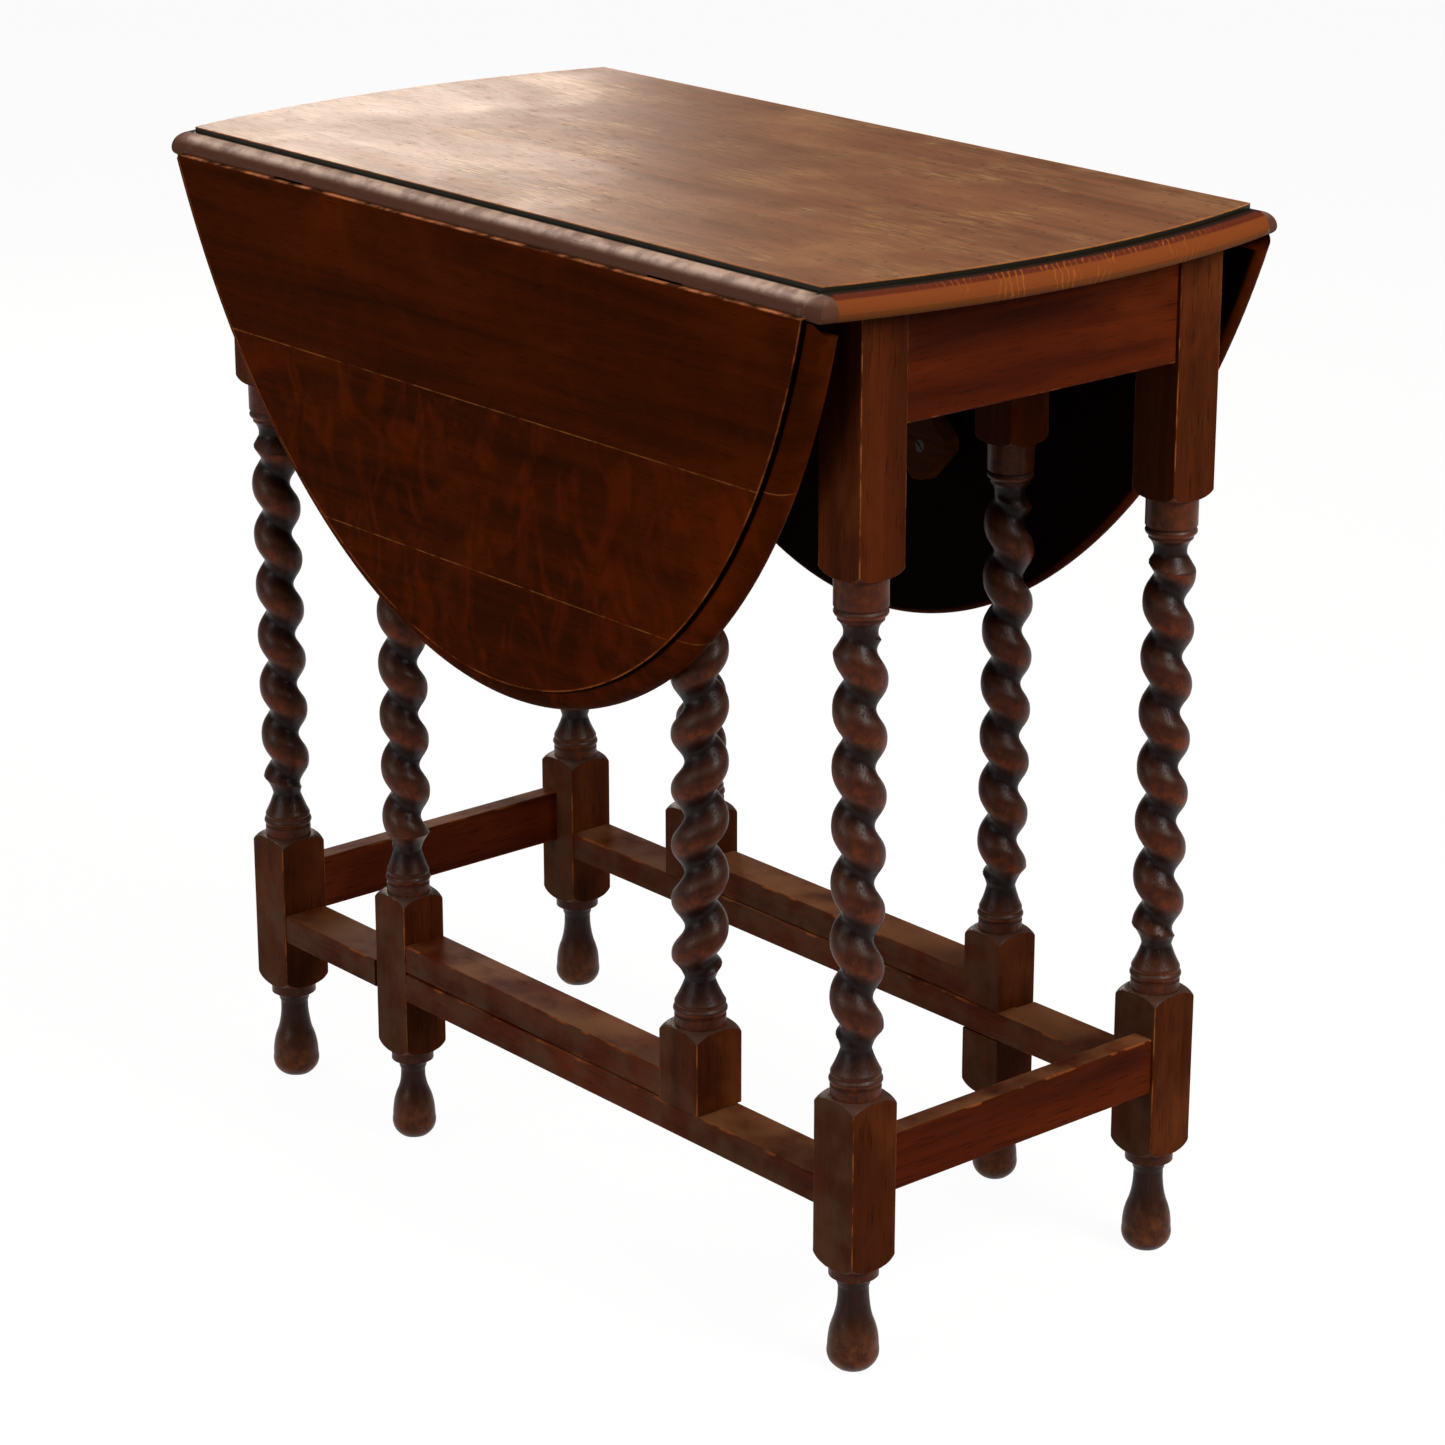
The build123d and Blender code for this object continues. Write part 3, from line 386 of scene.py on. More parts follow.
def oakGrain(tree, place, grain, look, seed):
    axes = addNode(tree, "ShaderNodeSeparateXYZ", {0: place}).node.outputs
    order = {"X": (0, 1, 2), "Y": (1, 0, 2), "Z": (2, 0, 1)}[grain]
    run = addNode(tree, "ShaderNodeCombineXYZ", {i: axes[k] for i, k in enumerate(order)})
    pattern = {}
    for name in ("figure", "pores", "mottle"):
        size, detail, distortion = look[name]
        scaled = addNode(tree, "ShaderNodeMapping", {
            "Vector": run, "Location": [seed * shift for shift in look["seedShift"]],
            "Scale": [1 / (length * mm) for length in size]})
        pattern[name] = addNode(tree, "ShaderNodeTexNoise", {
            "Vector": scaled, "Scale": 1.0, "Detail": detail, "Roughness": 0.55,
            "Distortion": distortion})
    darkStop, midStop = look["figureStops"]
    color = addNode(tree, "ShaderNodeValToRGB", {0: pattern["figure"]}, stops=(
        (darkStop, look["dark"]), (midStop, look["mid"])))
    share = addNode(tree, "ShaderNodeMapRange", {0: pattern["mottle"], **look["lightBand"]}, **soft)
    color = addNode(tree, "ShaderNodeMix", {0: share, 6: color, 7: linear(look["light"])}, **rgba)
    pores = addNode(tree, "ShaderNodeMapRange", {0: pattern["pores"], **look["poreBand"]}, **soft)
    share = addNode(tree, "ShaderNodeMath", {0: pores, 1: look["poreDepth"]}, **times)
    color = addNode(tree, "ShaderNodeMix", {0: share, 6: color, 7: linear(look["pore"])}, **rgba)
    rough = addNode(tree, "ShaderNodeMapRange", {
        0: pattern["mottle"], **look["waxBand"], 3: look["roughHigh"], 4: look["roughLow"]})
    rough = addNode(tree, "ShaderNodeMath", {
        0: pores, 1: look["poreRough"], 2: rough}, operation="MULTIPLY_ADD")
    height = addNode(tree, "ShaderNodeMath", {0: pattern["figure"], 1: look["figureHeight"]}, **times)
    height = addNode(tree, "ShaderNodeMath", {
        0: pores, 1: look["poreHeight"], 2: height}, operation="MULTIPLY_ADD")
    return {"color": color, "rough": rough, "height": height}


def wornPatches(tree, place, look):
    # what use has rubbed: the noise itself, and how far each place is rubbed through
    noise = addNode(tree, "ShaderNodeTexNoise", {
        "Vector": place, "Scale": 1 / (look["rubSize"] * mm), "Detail": look["rubDetail"],
        "Roughness": look["rubRough"]})
    return noise, addNode(tree, "ShaderNodeMapRange", {0: noise, **look["rubBand"]}, **soft)


# Dust and floor polish grey the long sides of what is near the floor, together with a painted sheen of light from
# the floor.
dustAndSheen = {
    "color": "#523a29", "patch": 30, "patchBand": {1: 0.35, 2: 0.65, 3: 0.10, 4: 0.60},
    "heightBand": {1: 200 * mm, 2: 260 * mm, 3: 1.0, 4: 0.0}, "sideBand": {1: 0.6, 2: 0.9},
}


def lowDustAndSheen(tree, place, color):
    patch = addNode(tree, "ShaderNodeTexNoise", {
        "Vector": place, "Scale": 1 / (dustAndSheen["patch"] * mm), "Detail": 4.0})
    share = addNode(tree, "ShaderNodeMapRange", {0: patch, **dustAndSheen["patchBand"]}, **soft)
    z = addNode(tree, "ShaderNodeSeparateXYZ", {0: place}, "Z")
    low = addNode(tree, "ShaderNodeMapRange", {0: z, **dustAndSheen["heightBand"]})
    normal = addNode(tree, "ShaderNodeNewGeometry", out="Normal")
    side = addNode(tree, "ShaderNodeSeparateXYZ", {0: normal}, "Y")
    side = addNode(tree, "ShaderNodeMath", {0: side}, operation="ABSOLUTE")
    side = addNode(tree, "ShaderNodeMapRange", {0: side, **dustAndSheen["sideBand"]}, **soft)
    for mask in (low, side):
        share = addNode(tree, "ShaderNodeMath", {0: share, 1: mask}, **times)
    return addNode(tree, "ShaderNodeMix", {0: share, 6: color, 7: linear(dustAndSheen["color"])}, **rgba)


# Rails: straight grain, arrises rubbed back to lighter wood, and upper faces tan in patches: worn by feet, with a
# painted sheen.
railLook = dict(
    oak, dark="#330f04", mid="#521c06", light="#6c2c0c", worn="#8f4a20", treadAndSheen="#784c2e",
    wornReach=2.4, edgeBand={1: 0.2, 2: 0.8, 4: 0.85}, rubSize=22, rubBand={1: 0.42, 2: 0.62},
    treadSheenSize=60, treadSheenBand={1: 0.34, 2: 0.62}, upBand={1: 0.75, 2: 0.95, 4: 0.8})


def railOak(name, node, grain, look, seed):
    material, tree = newMaterial(name)
    place = addNode(tree, "ShaderNodeTexCoord", out="Object")
    wood = oakGrain(tree, place, grain, look, seed)
    low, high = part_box(node)
    reach = look["wornReach"] * mm
    inner = [half - reach for half in (high - low) / 2]
    away = addNode(tree, "ShaderNodeVectorMath", {0: place, 1: (low + high) / 2}, operation="SUBTRACT")
    away = addNode(tree, "ShaderNodeVectorMath", {0: away}, operation="ABSOLUTE")
    away = addNode(tree, "ShaderNodeVectorMath", {0: away, 1: inner}, operation="SUBTRACT")
    away = addNode(tree, "ShaderNodeVectorMath", {0: away, 1: (0, 0, 0)}, operation="MAXIMUM")
    away = addNode(tree, "ShaderNodeVectorMath", {0: away, "Scale": 1 / reach}, operation="SCALE")
    axes = addNode(tree, "ShaderNodeSeparateXYZ", {0: away}).node.outputs
    edge = 0.0  # 1 where two of the three axes are near the rail's limits
    for first, second in ((0, 1), (1, 2), (2, 0)):
        both = addNode(tree, "ShaderNodeMath", {0: axes[first], 1: axes[second]}, **times)
        edge = addNode(tree, "ShaderNodeMath", {0: both, 1: edge}, operation="MAXIMUM")
    rubbed = wornPatches(tree, place, look)[1]
    edge = addNode(tree, "ShaderNodeMath", {0: edge, 1: rubbed}, **times)
    share = addNode(tree, "ShaderNodeMapRange", {0: edge, **look["edgeBand"]}, **soft)
    # dust, and a painted sheen of floor light, on the low long sides
    color = lowDustAndSheen(tree, place, wood["color"])
    color = addNode(tree, "ShaderNodeMix", {0: share, 6: color, 7: linear(look["worn"])}, **rgba)
    # upper faces tan in patches: wear by feet, and a painted sheen
    normal = addNode(tree, "ShaderNodeNewGeometry", out="Normal")
    up = addNode(tree, "ShaderNodeSeparateXYZ", {0: normal}, "Z")
    up = addNode(tree, "ShaderNodeMapRange", {0: up, **look["upBand"]})
    treadSheen = addNode(tree, "ShaderNodeTexNoise", {
        "Vector": place, "Scale": 1 / (look["treadSheenSize"] * mm), "Detail": 5.0})
    treadSheen = addNode(tree, "ShaderNodeMapRange", {0: treadSheen, **look["treadSheenBand"]}, **soft)
    share = addNode(tree, "ShaderNodeMath", {0: up, 1: treadSheen}, **times)
    color = addNode(tree, "ShaderNodeMix", {0: share, 6: color, 7: linear(look["treadAndSheen"])}, **rgba)
    finishMaterial(tree, color, wood["rough"], wood["height"], look)
    return material


# Blocks of the legs: as the rails, with the arrises worn through.
blockLook = dict(
    oak, dark="#351405", mid="#4e2009", light="#623012", worn="#a05a2c", seed=4,
    mottle=((90, 50, 50), 3, 0.4), arrisBand={1: 0.94, 2: 0.995},
    rubSize=16, rubBand={1: 0.42, 2: 0.64, 3: 0.05, 4: 0.85})


def blockOak(name, look):
    material, tree = newMaterial(name)
    place = addNode(tree, "ShaderNodeTexCoord", out="Object")
    wood = oakGrain(tree, place, "Z", look, look["seed"])
    arris = addNode(tree, "ShaderNodeAttribute", out="Fac", attribute_name="arris")
    edge = addNode(tree, "ShaderNodeMapRange", {0: arris, **look["arrisBand"]}, **soft)
    rubbed = wornPatches(tree, place, look)[1]
    share = addNode(tree, "ShaderNodeMath", {0: edge, 1: rubbed}, **times)
    # dust, and a painted sheen of floor light, on the low long sides
    color = lowDustAndSheen(tree, place, wood["color"])
    color = addNode(tree, "ShaderNodeMix", {0: share, 6: color, 7: linear(look["worn"])}, **rgba)
    finishMaterial(tree, color, wood["rough"], wood["height"], look)
    return material


# Turned and twisted oak: near black in the valleys, red brown on the ridges, where hands have worn the stain away
# and polished the wood, greyed on the ridges' upward faces by a painted sheen, and scuffed pale low on the feet.
carvedLook = dict(
    oak, dark="#240e06", mid="#38180b", light="#4a2410", valley="#0e0502", ridge="#70300f",
    scuff="#70401e", paintedSheen="#4b3a30", seed=7, figure=((120, 5, 5), 4, 0.5), mottle=((70, 50, 50), 3, 0.4),
    roughLow=0.28, roughHigh=0.44, specular=0.12, bump=0.55,
    rubSize=7, rubDetail=6.0, rubRough=0.65, rubBand={1: 0.36, 2: 0.70, 3: 0.15, 4: 0.9},
    valleyBand={1: 0.05, 2: 0.50, 3: 0.85, 4: 0.0}, twistBand={1: 100 * mm, 2: 180 * mm, 3: 0.4},
    crestBand={1: 0.45, 2: 0.90}, paintedSheenBand={1: 0.15, 2: 0.65, 4: 0.55},
    underBand={1: -0.30, 2: 0.25, 3: 1.0, 4: 0.15}, scuffBand={1: 4 * mm, 2: 45 * mm, 3: 0.75, 4: 0.0})


def carvedOak(name, look):
    material, tree = newMaterial(name)
    place = addNode(tree, "ShaderNodeTexCoord", out="Object")
    wood = oakGrain(tree, place, "Z", look, look["seed"])
    normal = addNode(tree, "ShaderNodeNewGeometry", out="Normal")
    facing = addNode(tree, "ShaderNodeSeparateXYZ", {0: normal}, "Z")
    rubbed = wornPatches(tree, place, look)[1]
    ridge = addNode(tree, "ShaderNodeAttribute", out="Fac", attribute_name="ridge")
    deep = addNode(tree, "ShaderNodeMapRange", {0: ridge, **look["valleyBand"]}, **soft)
    z = addNode(tree, "ShaderNodeSeparateXYZ", {0: place}, "Z")
    twisted = addNode(tree, "ShaderNodeMapRange", {0: z, **look["twistBand"]})
    deep = addNode(tree, "ShaderNodeMath", {0: deep, 1: twisted}, **times)
    color = addNode(tree, "ShaderNodeMix", {
        0: deep, 6: wood["color"], 7: linear(look["valley"])}, **rgba)

    # a painted sheen greys the ridges where they face up, and the lower flanks of the ridges are rubbed red
    crest = addNode(tree, "ShaderNodeMapRange", {0: ridge, **look["crestBand"]}, **soft)
    paintedSheen = addNode(tree, "ShaderNodeMapRange", {0: facing, **look["paintedSheenBand"]}, **soft)
    share = addNode(tree, "ShaderNodeMath", {0: crest, 1: paintedSheen}, **times)
    color = addNode(tree, "ShaderNodeMix", {0: share, 6: color, 7: linear(look["paintedSheen"])}, **rgba)
    under = addNode(tree, "ShaderNodeMapRange", {0: facing, **look["underBand"]}, **soft)
    share = addNode(tree, "ShaderNodeMath", {0: crest, 1: rubbed}, **times)
    share = addNode(tree, "ShaderNodeMath", {0: share, 1: under}, **times)
    color = addNode(tree, "ShaderNodeMix", {0: share, 6: color, 7: linear(look["ridge"])}, **rgba)
    low = addNode(tree, "ShaderNodeMapRange", {0: z, **look["scuffBand"]}, **soft)
    share = addNode(tree, "ShaderNodeMath", {0: low, 1: rubbed}, **times)
    color = addNode(tree, "ShaderNodeMix", {0: share, 6: color, 7: linear(look["scuff"])}, **rgba)
    finishMaterial(tree, color, wood["rough"], wood["height"], look)
    return material


def levelPlace(tree, side):
    # where a point of a hanging leaf lies once the leaf is raised level
    place = addNode(tree, "ShaderNodeTexCoord", out="Object")
    if side == 0:
        return place
    turn = leafSwing * side
    pivot = Vector((0, side * hingeLine, axisHeight))
    cosine, sine = math.cos(turn), math.sin(turn)
    turnedPivot = Vector((0, pivot.y * cosine - pivot.z * sine, pivot.y * sine + pivot.z * cosine))
    return addNode(tree, "ShaderNodeMapping", {
        "Vector": place, "Rotation": (turn, 0, 0), "Location": pivot - turnedPivot})


# Edge of the oval, in millimetres: a step, with dirt and painted shade on it and at its foot, and a rubbed arris
# above it
mould = {
    "stepSetback": 16, "ovalHalfLength": 513, "glueLines": (118, 237), "stepDepth": 5.2,
    "upperBand": {1: tableHeight - 1.0 * mm, 2: tableHeight - 0.3 * mm},
    "arrisBand": {1: 0.4 * mm, 2: 1.4 * mm, 3: 1.0, 4: 0.0},
    "stepBand": {1: 1.6 * mm, 2: 2.2 * mm, 3: 1.0, 4: 0.0},
    "cornerBand": {1: 0.8 * mm, 2: 2.6 * mm, 3: 1.0, 4: 0.0},
}


def mouldMasks(tree, level):
    x, y, z = addNode(tree, "ShaderNodeSeparateXYZ", {0: level}).node.outputs
    halfWidth = ovalHalfWidth - mould["stepSetback"] * mm
    halfLength = (mould["ovalHalfLength"] - mould["stepSetback"]) * mm
    shrunk = addNode(tree, "ShaderNodeVectorMath", {
        0: level, 1: (1 / halfWidth, 1 / halfLength, 0)}, **times)
    reach = addNode(tree, "ShaderNodeVectorMath", {0: shrunk}, "Value", operation="LENGTH")
    # distances outside the step of the oval edge and outside the hinge line
    outside = addNode(tree, "ShaderNodeMath", {0: reach, 1: 1.0}, operation="SUBTRACT")
    outside = addNode(tree, "ShaderNodeMath", {0: outside, 1: (halfWidth + halfLength) / 2}, **times)
    across = addNode(tree, "ShaderNodeMath", {0: y}, operation="ABSOLUTE")
    fromHinge = addNode(tree, "ShaderNodeMath", {0: across, 1: hingeLine}, operation="SUBTRACT")
    upper = addNode(tree, "ShaderNodeMapRange", {0: z, **mould["upperBand"]}, **soft)
    masks = {"outside": outside, "fromHinge": fromHinge, "x": x, "z": z}
    for name, distance in (("ovalArris", outside), ("longArris", fromHinge)):
        off = addNode(tree, "ShaderNodeMath", {0: distance}, operation="ABSOLUTE")
        off = addNode(tree, "ShaderNodeMapRange", {0: off, **mould["arrisBand"]}, **soft)
        masks[name] = addNode(tree, "ShaderNodeMath", {0: off, 1: upper}, **times)
    middle = tableHeight - mould["stepDepth"] / 2 * mm
    step = addNode(tree, "ShaderNodeMath", {0: z, 1: middle}, operation="SUBTRACT")
    step = addNode(tree, "ShaderNodeMath", {0: step}, operation="ABSOLUTE")
    step = addNode(tree, "ShaderNodeMapRange", {0: step, **mould["stepBand"]}, **soft)
    corner = 0.0  # dirt and painted shade on the step and in the angle at its foot
    for distance in (outside, fromHinge):
        off = addNode(tree, "ShaderNodeMath", {0: distance}, operation="ABSOLUTE")
        off = addNode(tree, "ShaderNodeMapRange", {0: off, **mould["cornerBand"]}, **soft)
        corner = addNode(tree, "ShaderNodeMath", {0: off, 1: corner}, operation="MAXIMUM")
    masks["dirtAndShade"] = addNode(tree, "ShaderNodeMath", {0: step, 1: corner}, **times)
    return masks


# Top: oak whose wax has gone dull and is scratched through in places to paler wood, with dents. Its bowed
# ends are orange end wood with ray flecks, painted shade and a painted highlight along the nose, and its
# rounded long sides are dark, with a painted highlight on the crown in rubbed patches.
topLook = dict(
    oak, dark="#643a1e", mid="#7e4c2b", light="#906038", pore="#482612", worn="#a8804e", arris="#a8662f",
    dirtAndShade="#151106", dent="#3a2012", endWood="#521b02", endShade="#220c02", endFleckAndHighlight="#984f12",
    rounded="#4e2c1c", crownHighlight="#b89882", chipped="#b8a08c", seed=1, mottle=((120, 80, 80), 4, 0.6),
    roughLow=0.33, roughHigh=0.45, endRough=0.8, specular=0.15, poreDepth=0.45, bump=0.30,
    scratchPatch=((100, 60, 60), {1: 0.46, 2: 0.68}), scratch=((30, 1.3, 10), {1: 0.47, 2: 0.66}),
    scratchShift=(2.1, 0.4, 0),
    dentEvery=28, dentBand={1: 0.03, 2: 0.07, 3: 0.7, 4: 0.0}, dentHeight=-1.5,
    fleckEvery=4.5, fleckSlant=0.5, fleckBand={1: 0.78, 2: 0.98, 4: 0.9},
    fleckPatch=24, patchBand={1: 0.36, 2: 0.58, 4: 0.8},
    reachBand={1: 70 * mm, 2: 150 * mm, 3: 1.0, 4: 0.0},
    swellBand={1: 5 * mm, 2: 9 * mm}, noseHighlightBand={1: 13.2 * mm, 2: 14.6 * mm, 4: 0.35},
    litBand={1: -0.15, 2: 0.25}, endBand={1: 0.8 * mm, 2: 1.6 * mm}, roundBand={1: 0.2 * mm, 2: 1.2 * mm},
    rubSize=18, rubDetail=5.0, rubRough=0.65, rubBand={1: 0.36, 2: 0.62, 3: 0.35, 4: 0.95},
    crownHighlightBand={1: 0.40, 2: 0.85}, chipReach={1: 315 * mm, 2: ovalHalfWidth - 30 * mm},
    chipBand={1: 0.56, 2: 0.64, 4: 0.7}, innerBand={3: 1.0, 4: 0.2})
waveLength = math.pi / 10  # of a wave texture at a scale of 1


def topOak(name, look):
    material, tree = newMaterial(name)
    place = levelPlace(tree, 0)
    wood = oakGrain(tree, place, "X", look, look["seed"])
    color = wood["color"]
    masks = mouldMasks(tree, place)

    # scratches through the wax: short streaks along the grain, in patches
    scratched = 1.0
    for size, band in (look["scratchPatch"], look["scratch"]):
        scaled = addNode(tree, "ShaderNodeMapping", {
            "Vector": place, "Location": look["scratchShift"],
            "Scale": [1 / (length * mm) for length in size]})
        noise = addNode(tree, "ShaderNodeTexNoise", {
            "Vector": scaled, "Scale": 1.0, "Detail": 5.0, "Roughness": 0.62, "Distortion": 0.4})
        noise = addNode(tree, "ShaderNodeMapRange", {0: noise, **band}, **soft)
        scratched = addNode(tree, "ShaderNodeMath", {0: noise, 1: scratched}, **times)
    color = addNode(tree, "ShaderNodeMix", {0: scratched, 6: color, 7: linear(look["worn"])}, **rgba)

    # dents: dark specks about three millimetres across, here and there
    cell = addNode(tree, "ShaderNodeTexVoronoi", {
        "Vector": place, "Scale": 1 / (look["dentEvery"] * mm)}, voronoi_dimensions="2D")
    dents = addNode(tree, "ShaderNodeMapRange", {0: cell, **look["dentBand"]}, **soft)
    color = addNode(tree, "ShaderNodeMix", {0: dents, 6: color, 7: linear(look["dent"])}, **rgba)

    normal = addNode(tree, "ShaderNodeNewGeometry", out="Normal")
    facing = addNode(tree, "ShaderNodeSeparateXYZ", {0: normal}, "Z")

    # bowed ends: painted shade by the step and under the nose, ray flecks in patches over the swell, and a
    # painted highlight along the nose
    slanted = addNode(tree, "ShaderNodeMapping", {
        "Vector": place, "Rotation": (0, 0, look["fleckSlant"])})
    fleck = addNode(tree, "ShaderNodeTexWave", {
        "Vector": slanted, "Scale": waveLength / (look["fleckEvery"] * mm), "Distortion": 6.0,
        "Detail": 3.0, "Detail Scale": 1.5}, wave_type="BANDS", bands_direction="Y")
    fleck = addNode(tree, "ShaderNodeMapRange", {0: fleck, **look["fleckBand"]}, **soft)
    patch = addNode(tree, "ShaderNodeTexNoise", {
        "Vector": place, "Scale": 1 / (look["fleckPatch"] * mm), "Detail": 2.0})
    patch = addNode(tree, "ShaderNodeMapRange", {0: patch, **look["patchBand"]}, **soft)
    along = addNode(tree, "ShaderNodeSeparateXYZ", {0: place}, "Y")
    along = addNode(tree, "ShaderNodeMath", {0: along}, operation="ABSOLUTE")
    along = addNode(tree, "ShaderNodeMapRange", {0: along, **look["reachBand"]}, **soft)
    swell = addNode(tree, "ShaderNodeMapRange", {0: masks["outside"], **look["swellBand"]}, **soft)
    share = addNode(tree, "ShaderNodeMath", {0: fleck, 1: patch}, **times)
    share = addNode(tree, "ShaderNodeMath", {0: share, 1: along}, **times)
    noseHighlight = addNode(tree, "ShaderNodeMapRange", {0: masks["outside"], **look["noseHighlightBand"]}, **soft)
    share = addNode(tree, "ShaderNodeMath", {0: share, 1: noseHighlight}, operation="MAXIMUM")
    share = addNode(tree, "ShaderNodeMath", {0: share, 1: swell}, **times)
    lit = addNode(tree, "ShaderNodeMapRange", {0: facing, **look["litBand"]}, **soft)
    swell = addNode(tree, "ShaderNodeMath", {0: swell, 1: lit}, **times)
    end = addNode(tree, "ShaderNodeMix", {
        0: swell, 6: linear(look["endShade"]), 7: linear(look["endWood"])}, **rgba)
    end = addNode(tree, "ShaderNodeMix", {0: share, 6: end, 7: linear(look["endFleckAndHighlight"])}, **rgba)
    isEnd = addNode(tree, "ShaderNodeMapRange", {0: masks["outside"], **look["endBand"]})
    color = addNode(tree, "ShaderNodeMix", {0: isEnd, 6: color, 7: end}, **rgba)
    rough = addNode(tree, "ShaderNodeMix", {0: isEnd, 2: wood["rough"], 3: look["endRough"]})

    # rounded long sides: a painted highlight on the crown where it faces up, in rubbed patches, dark below, and
    # chipped towards the ends
    rub, rubbed = wornPatches(tree, place, look)
    crownHighlight = addNode(tree, "ShaderNodeMapRange", {0: facing, **look["crownHighlightBand"]}, **soft)
    endwards = addNode(tree, "ShaderNodeMath", {0: masks["x"]}, operation="ABSOLUTE")
    endwards = addNode(tree, "ShaderNodeMapRange", {0: endwards, **look["chipReach"]}, **soft)
    inner = addNode(tree, "ShaderNodeMapRange", {0: endwards, **look["innerBand"]})
    share = addNode(tree, "ShaderNodeMath", {0: crownHighlight, 1: rubbed}, **times)
    share = addNode(tree, "ShaderNodeMath", {0: share, 1: inner}, **times)
    side = addNode(tree, "ShaderNodeMix", {
        0: share, 6: linear(look["rounded"]), 7: linear(look["crownHighlight"])}, **rgba)
    chips = addNode(tree, "ShaderNodeMapRange", {0: rub, **look["chipBand"]}, **soft)
    share = addNode(tree, "ShaderNodeMath", {0: chips, 1: endwards}, **times)
    side = addNode(tree, "ShaderNodeMix", {0: share, 6: side, 7: linear(look["chipped"])}, **rgba)
    isRound = addNode(tree, "ShaderNodeMapRange", {0: masks["fromHinge"], **look["roundBand"]})
    color = addNode(tree, "ShaderNodeMix", {0: isRound, 6: color, 7: side}, **rgba)
    # the step and the angle at its foot darkened: dirt, and painted shade
    color = addNode(tree, "ShaderNodeMix", {
        0: masks["dirtAndShade"], 6: color, 7: linear(look["dirtAndShade"])}, **rgba)
    arris = addNode(tree, "ShaderNodeMath", {
        0: masks["ovalArris"], 1: masks["longArris"]}, operation="MAXIMUM")
    share = addNode(tree, "ShaderNodeMath", {0: arris, 1: rubbed}, **times)
    color = addNode(tree, "ShaderNodeMix", {0: share, 6: color, 7: linear(look["arris"])}, **rgba)
    height = addNode(tree, "ShaderNodeMath", {
        0: dents, 1: look["dentHeight"], 2: wood["height"]}, operation="MULTIPLY_ADD")
    finishMaterial(tree, color, rough, height, look)
    return material


# Leaves: the best boards, dark and red, with a faint flame figure in the lower two, a pale line where two
# boards are glued, and near-black wood on the side that faces the legs.
leafLook = dict(
    oak, dark="#2a0e00", mid="#421601", light="#541d02", pore="#1c0800", worn="#b06a42", arris="#8c4a22",
    dirtAndShade="#0c0502", flame="#6e2406", glue="#a0622f", inside="#120703", seed=2,
    mottle=((160, 110, 110), 4, 0.8), roughLow=0.46, roughHigh=0.58, specular=0.005,
    poreDepth=0.45, bump=0.3, flameSize=(32, 60, 60), flameBand={1: 0.42, 2: 0.72},
    flameUpper=0.05, flameLower=0.30,
    rubSize=20, rubDetail=5.0, rubRough=0.65, rubBand={1: 0.38, 2: 0.62, 3: 0.05, 4: 0.9},
    glueBand={1: 0.2 * mm, 2: 0.6 * mm, 3: 0.65, 4: 0.0},
    lipBand={1: 0.4 * mm, 2: 1.4 * mm, 3: 1.0, 4: 0.0},
    insideBand={1: underside + 0.3 * mm, 2: underside + mm, 3: 1.0, 4: 0.0})


def leafOak(name, side, look):
    material, tree = newMaterial(name)
    level = levelPlace(tree, side)
    wood = oakGrain(tree, level, "X", look, look["seed"] + side)
    color = wood["color"]
    masks = mouldMasks(tree, level)

    # flame figure, stronger below the first glue line
    scaled = addNode(tree, "ShaderNodeMapping", {
        "Vector": level, "Scale": [1 / (length * mm) for length in look["flameSize"]]})
    flame = addNode(tree, "ShaderNodeTexNoise", {
        "Vector": scaled, "Scale": 1.0, "Detail": 4.0, "Distortion": 2.2})
    flame = addNode(tree, "ShaderNodeMapRange", {0: flame, **look["flameBand"]}, **soft)
    first = mould["glueLines"][0] * mm
    lower = addNode(tree, "ShaderNodeMapRange", {
        0: masks["fromHinge"], 1: first - mm, 2: first + mm,
        3: look["flameUpper"], 4: look["flameLower"]})
    share = addNode(tree, "ShaderNodeMath", {0: flame, 1: lower}, **times)
    color = addNode(tree, "ShaderNodeMix", {0: share, 6: color, 7: linear(look["flame"])}, **rgba)

    # glue lines, dirt and painted shade in the step, rubbed edges, and the inner face
    rubbed = wornPatches(tree, level, look)[1]
    for line in mould["glueLines"]:
        off = addNode(tree, "ShaderNodeMath", {
            0: masks["fromHinge"], 1: line * mm}, operation="SUBTRACT")
        off = addNode(tree, "ShaderNodeMath", {0: off}, operation="ABSOLUTE")
        off = addNode(tree, "ShaderNodeMapRange", {0: off, **look["glueBand"]}, **soft)
        share = addNode(tree, "ShaderNodeMath", {0: off, 1: rubbed}, **times)
        color = addNode(tree, "ShaderNodeMix", {0: share, 6: color, 7: linear(look["glue"])}, **rgba)
    color = addNode(tree, "ShaderNodeMix", {
        0: masks["dirtAndShade"], 6: color, 7: linear(look["dirtAndShade"])}, **rgba)
    lip = addNode(tree, "ShaderNodeMapRange", {0: masks["fromHinge"], **look["lipBand"]}, **soft)
    for mask, tone in ((masks["ovalArris"], "arris"), (lip, "worn")):
        share = addNode(tree, "ShaderNodeMath", {0: mask, 1: rubbed}, **times)
        color = addNode(tree, "ShaderNodeMix", {0: share, 6: color, 7: linear(look[tone])}, **rgba)
    inside = addNode(tree, "ShaderNodeMapRange", {0: masks["z"], **look["insideBand"]})
    color = addNode(tree, "ShaderNodeMix", {0: inside, 6: color, 7: linear(look["inside"])}, **rgba)
    finishMaterial(tree, color, wood["rough"], wood["height"], look)
    return material


# Stops: plain oak that was never stained, browned by age.
stopLook = dict(
    railLook, dark="#341808", mid="#5a2e12", light="#6e3c1a", pore="#200e04", worn="#8a5426",
    treadAndSheen="#5a2e12")

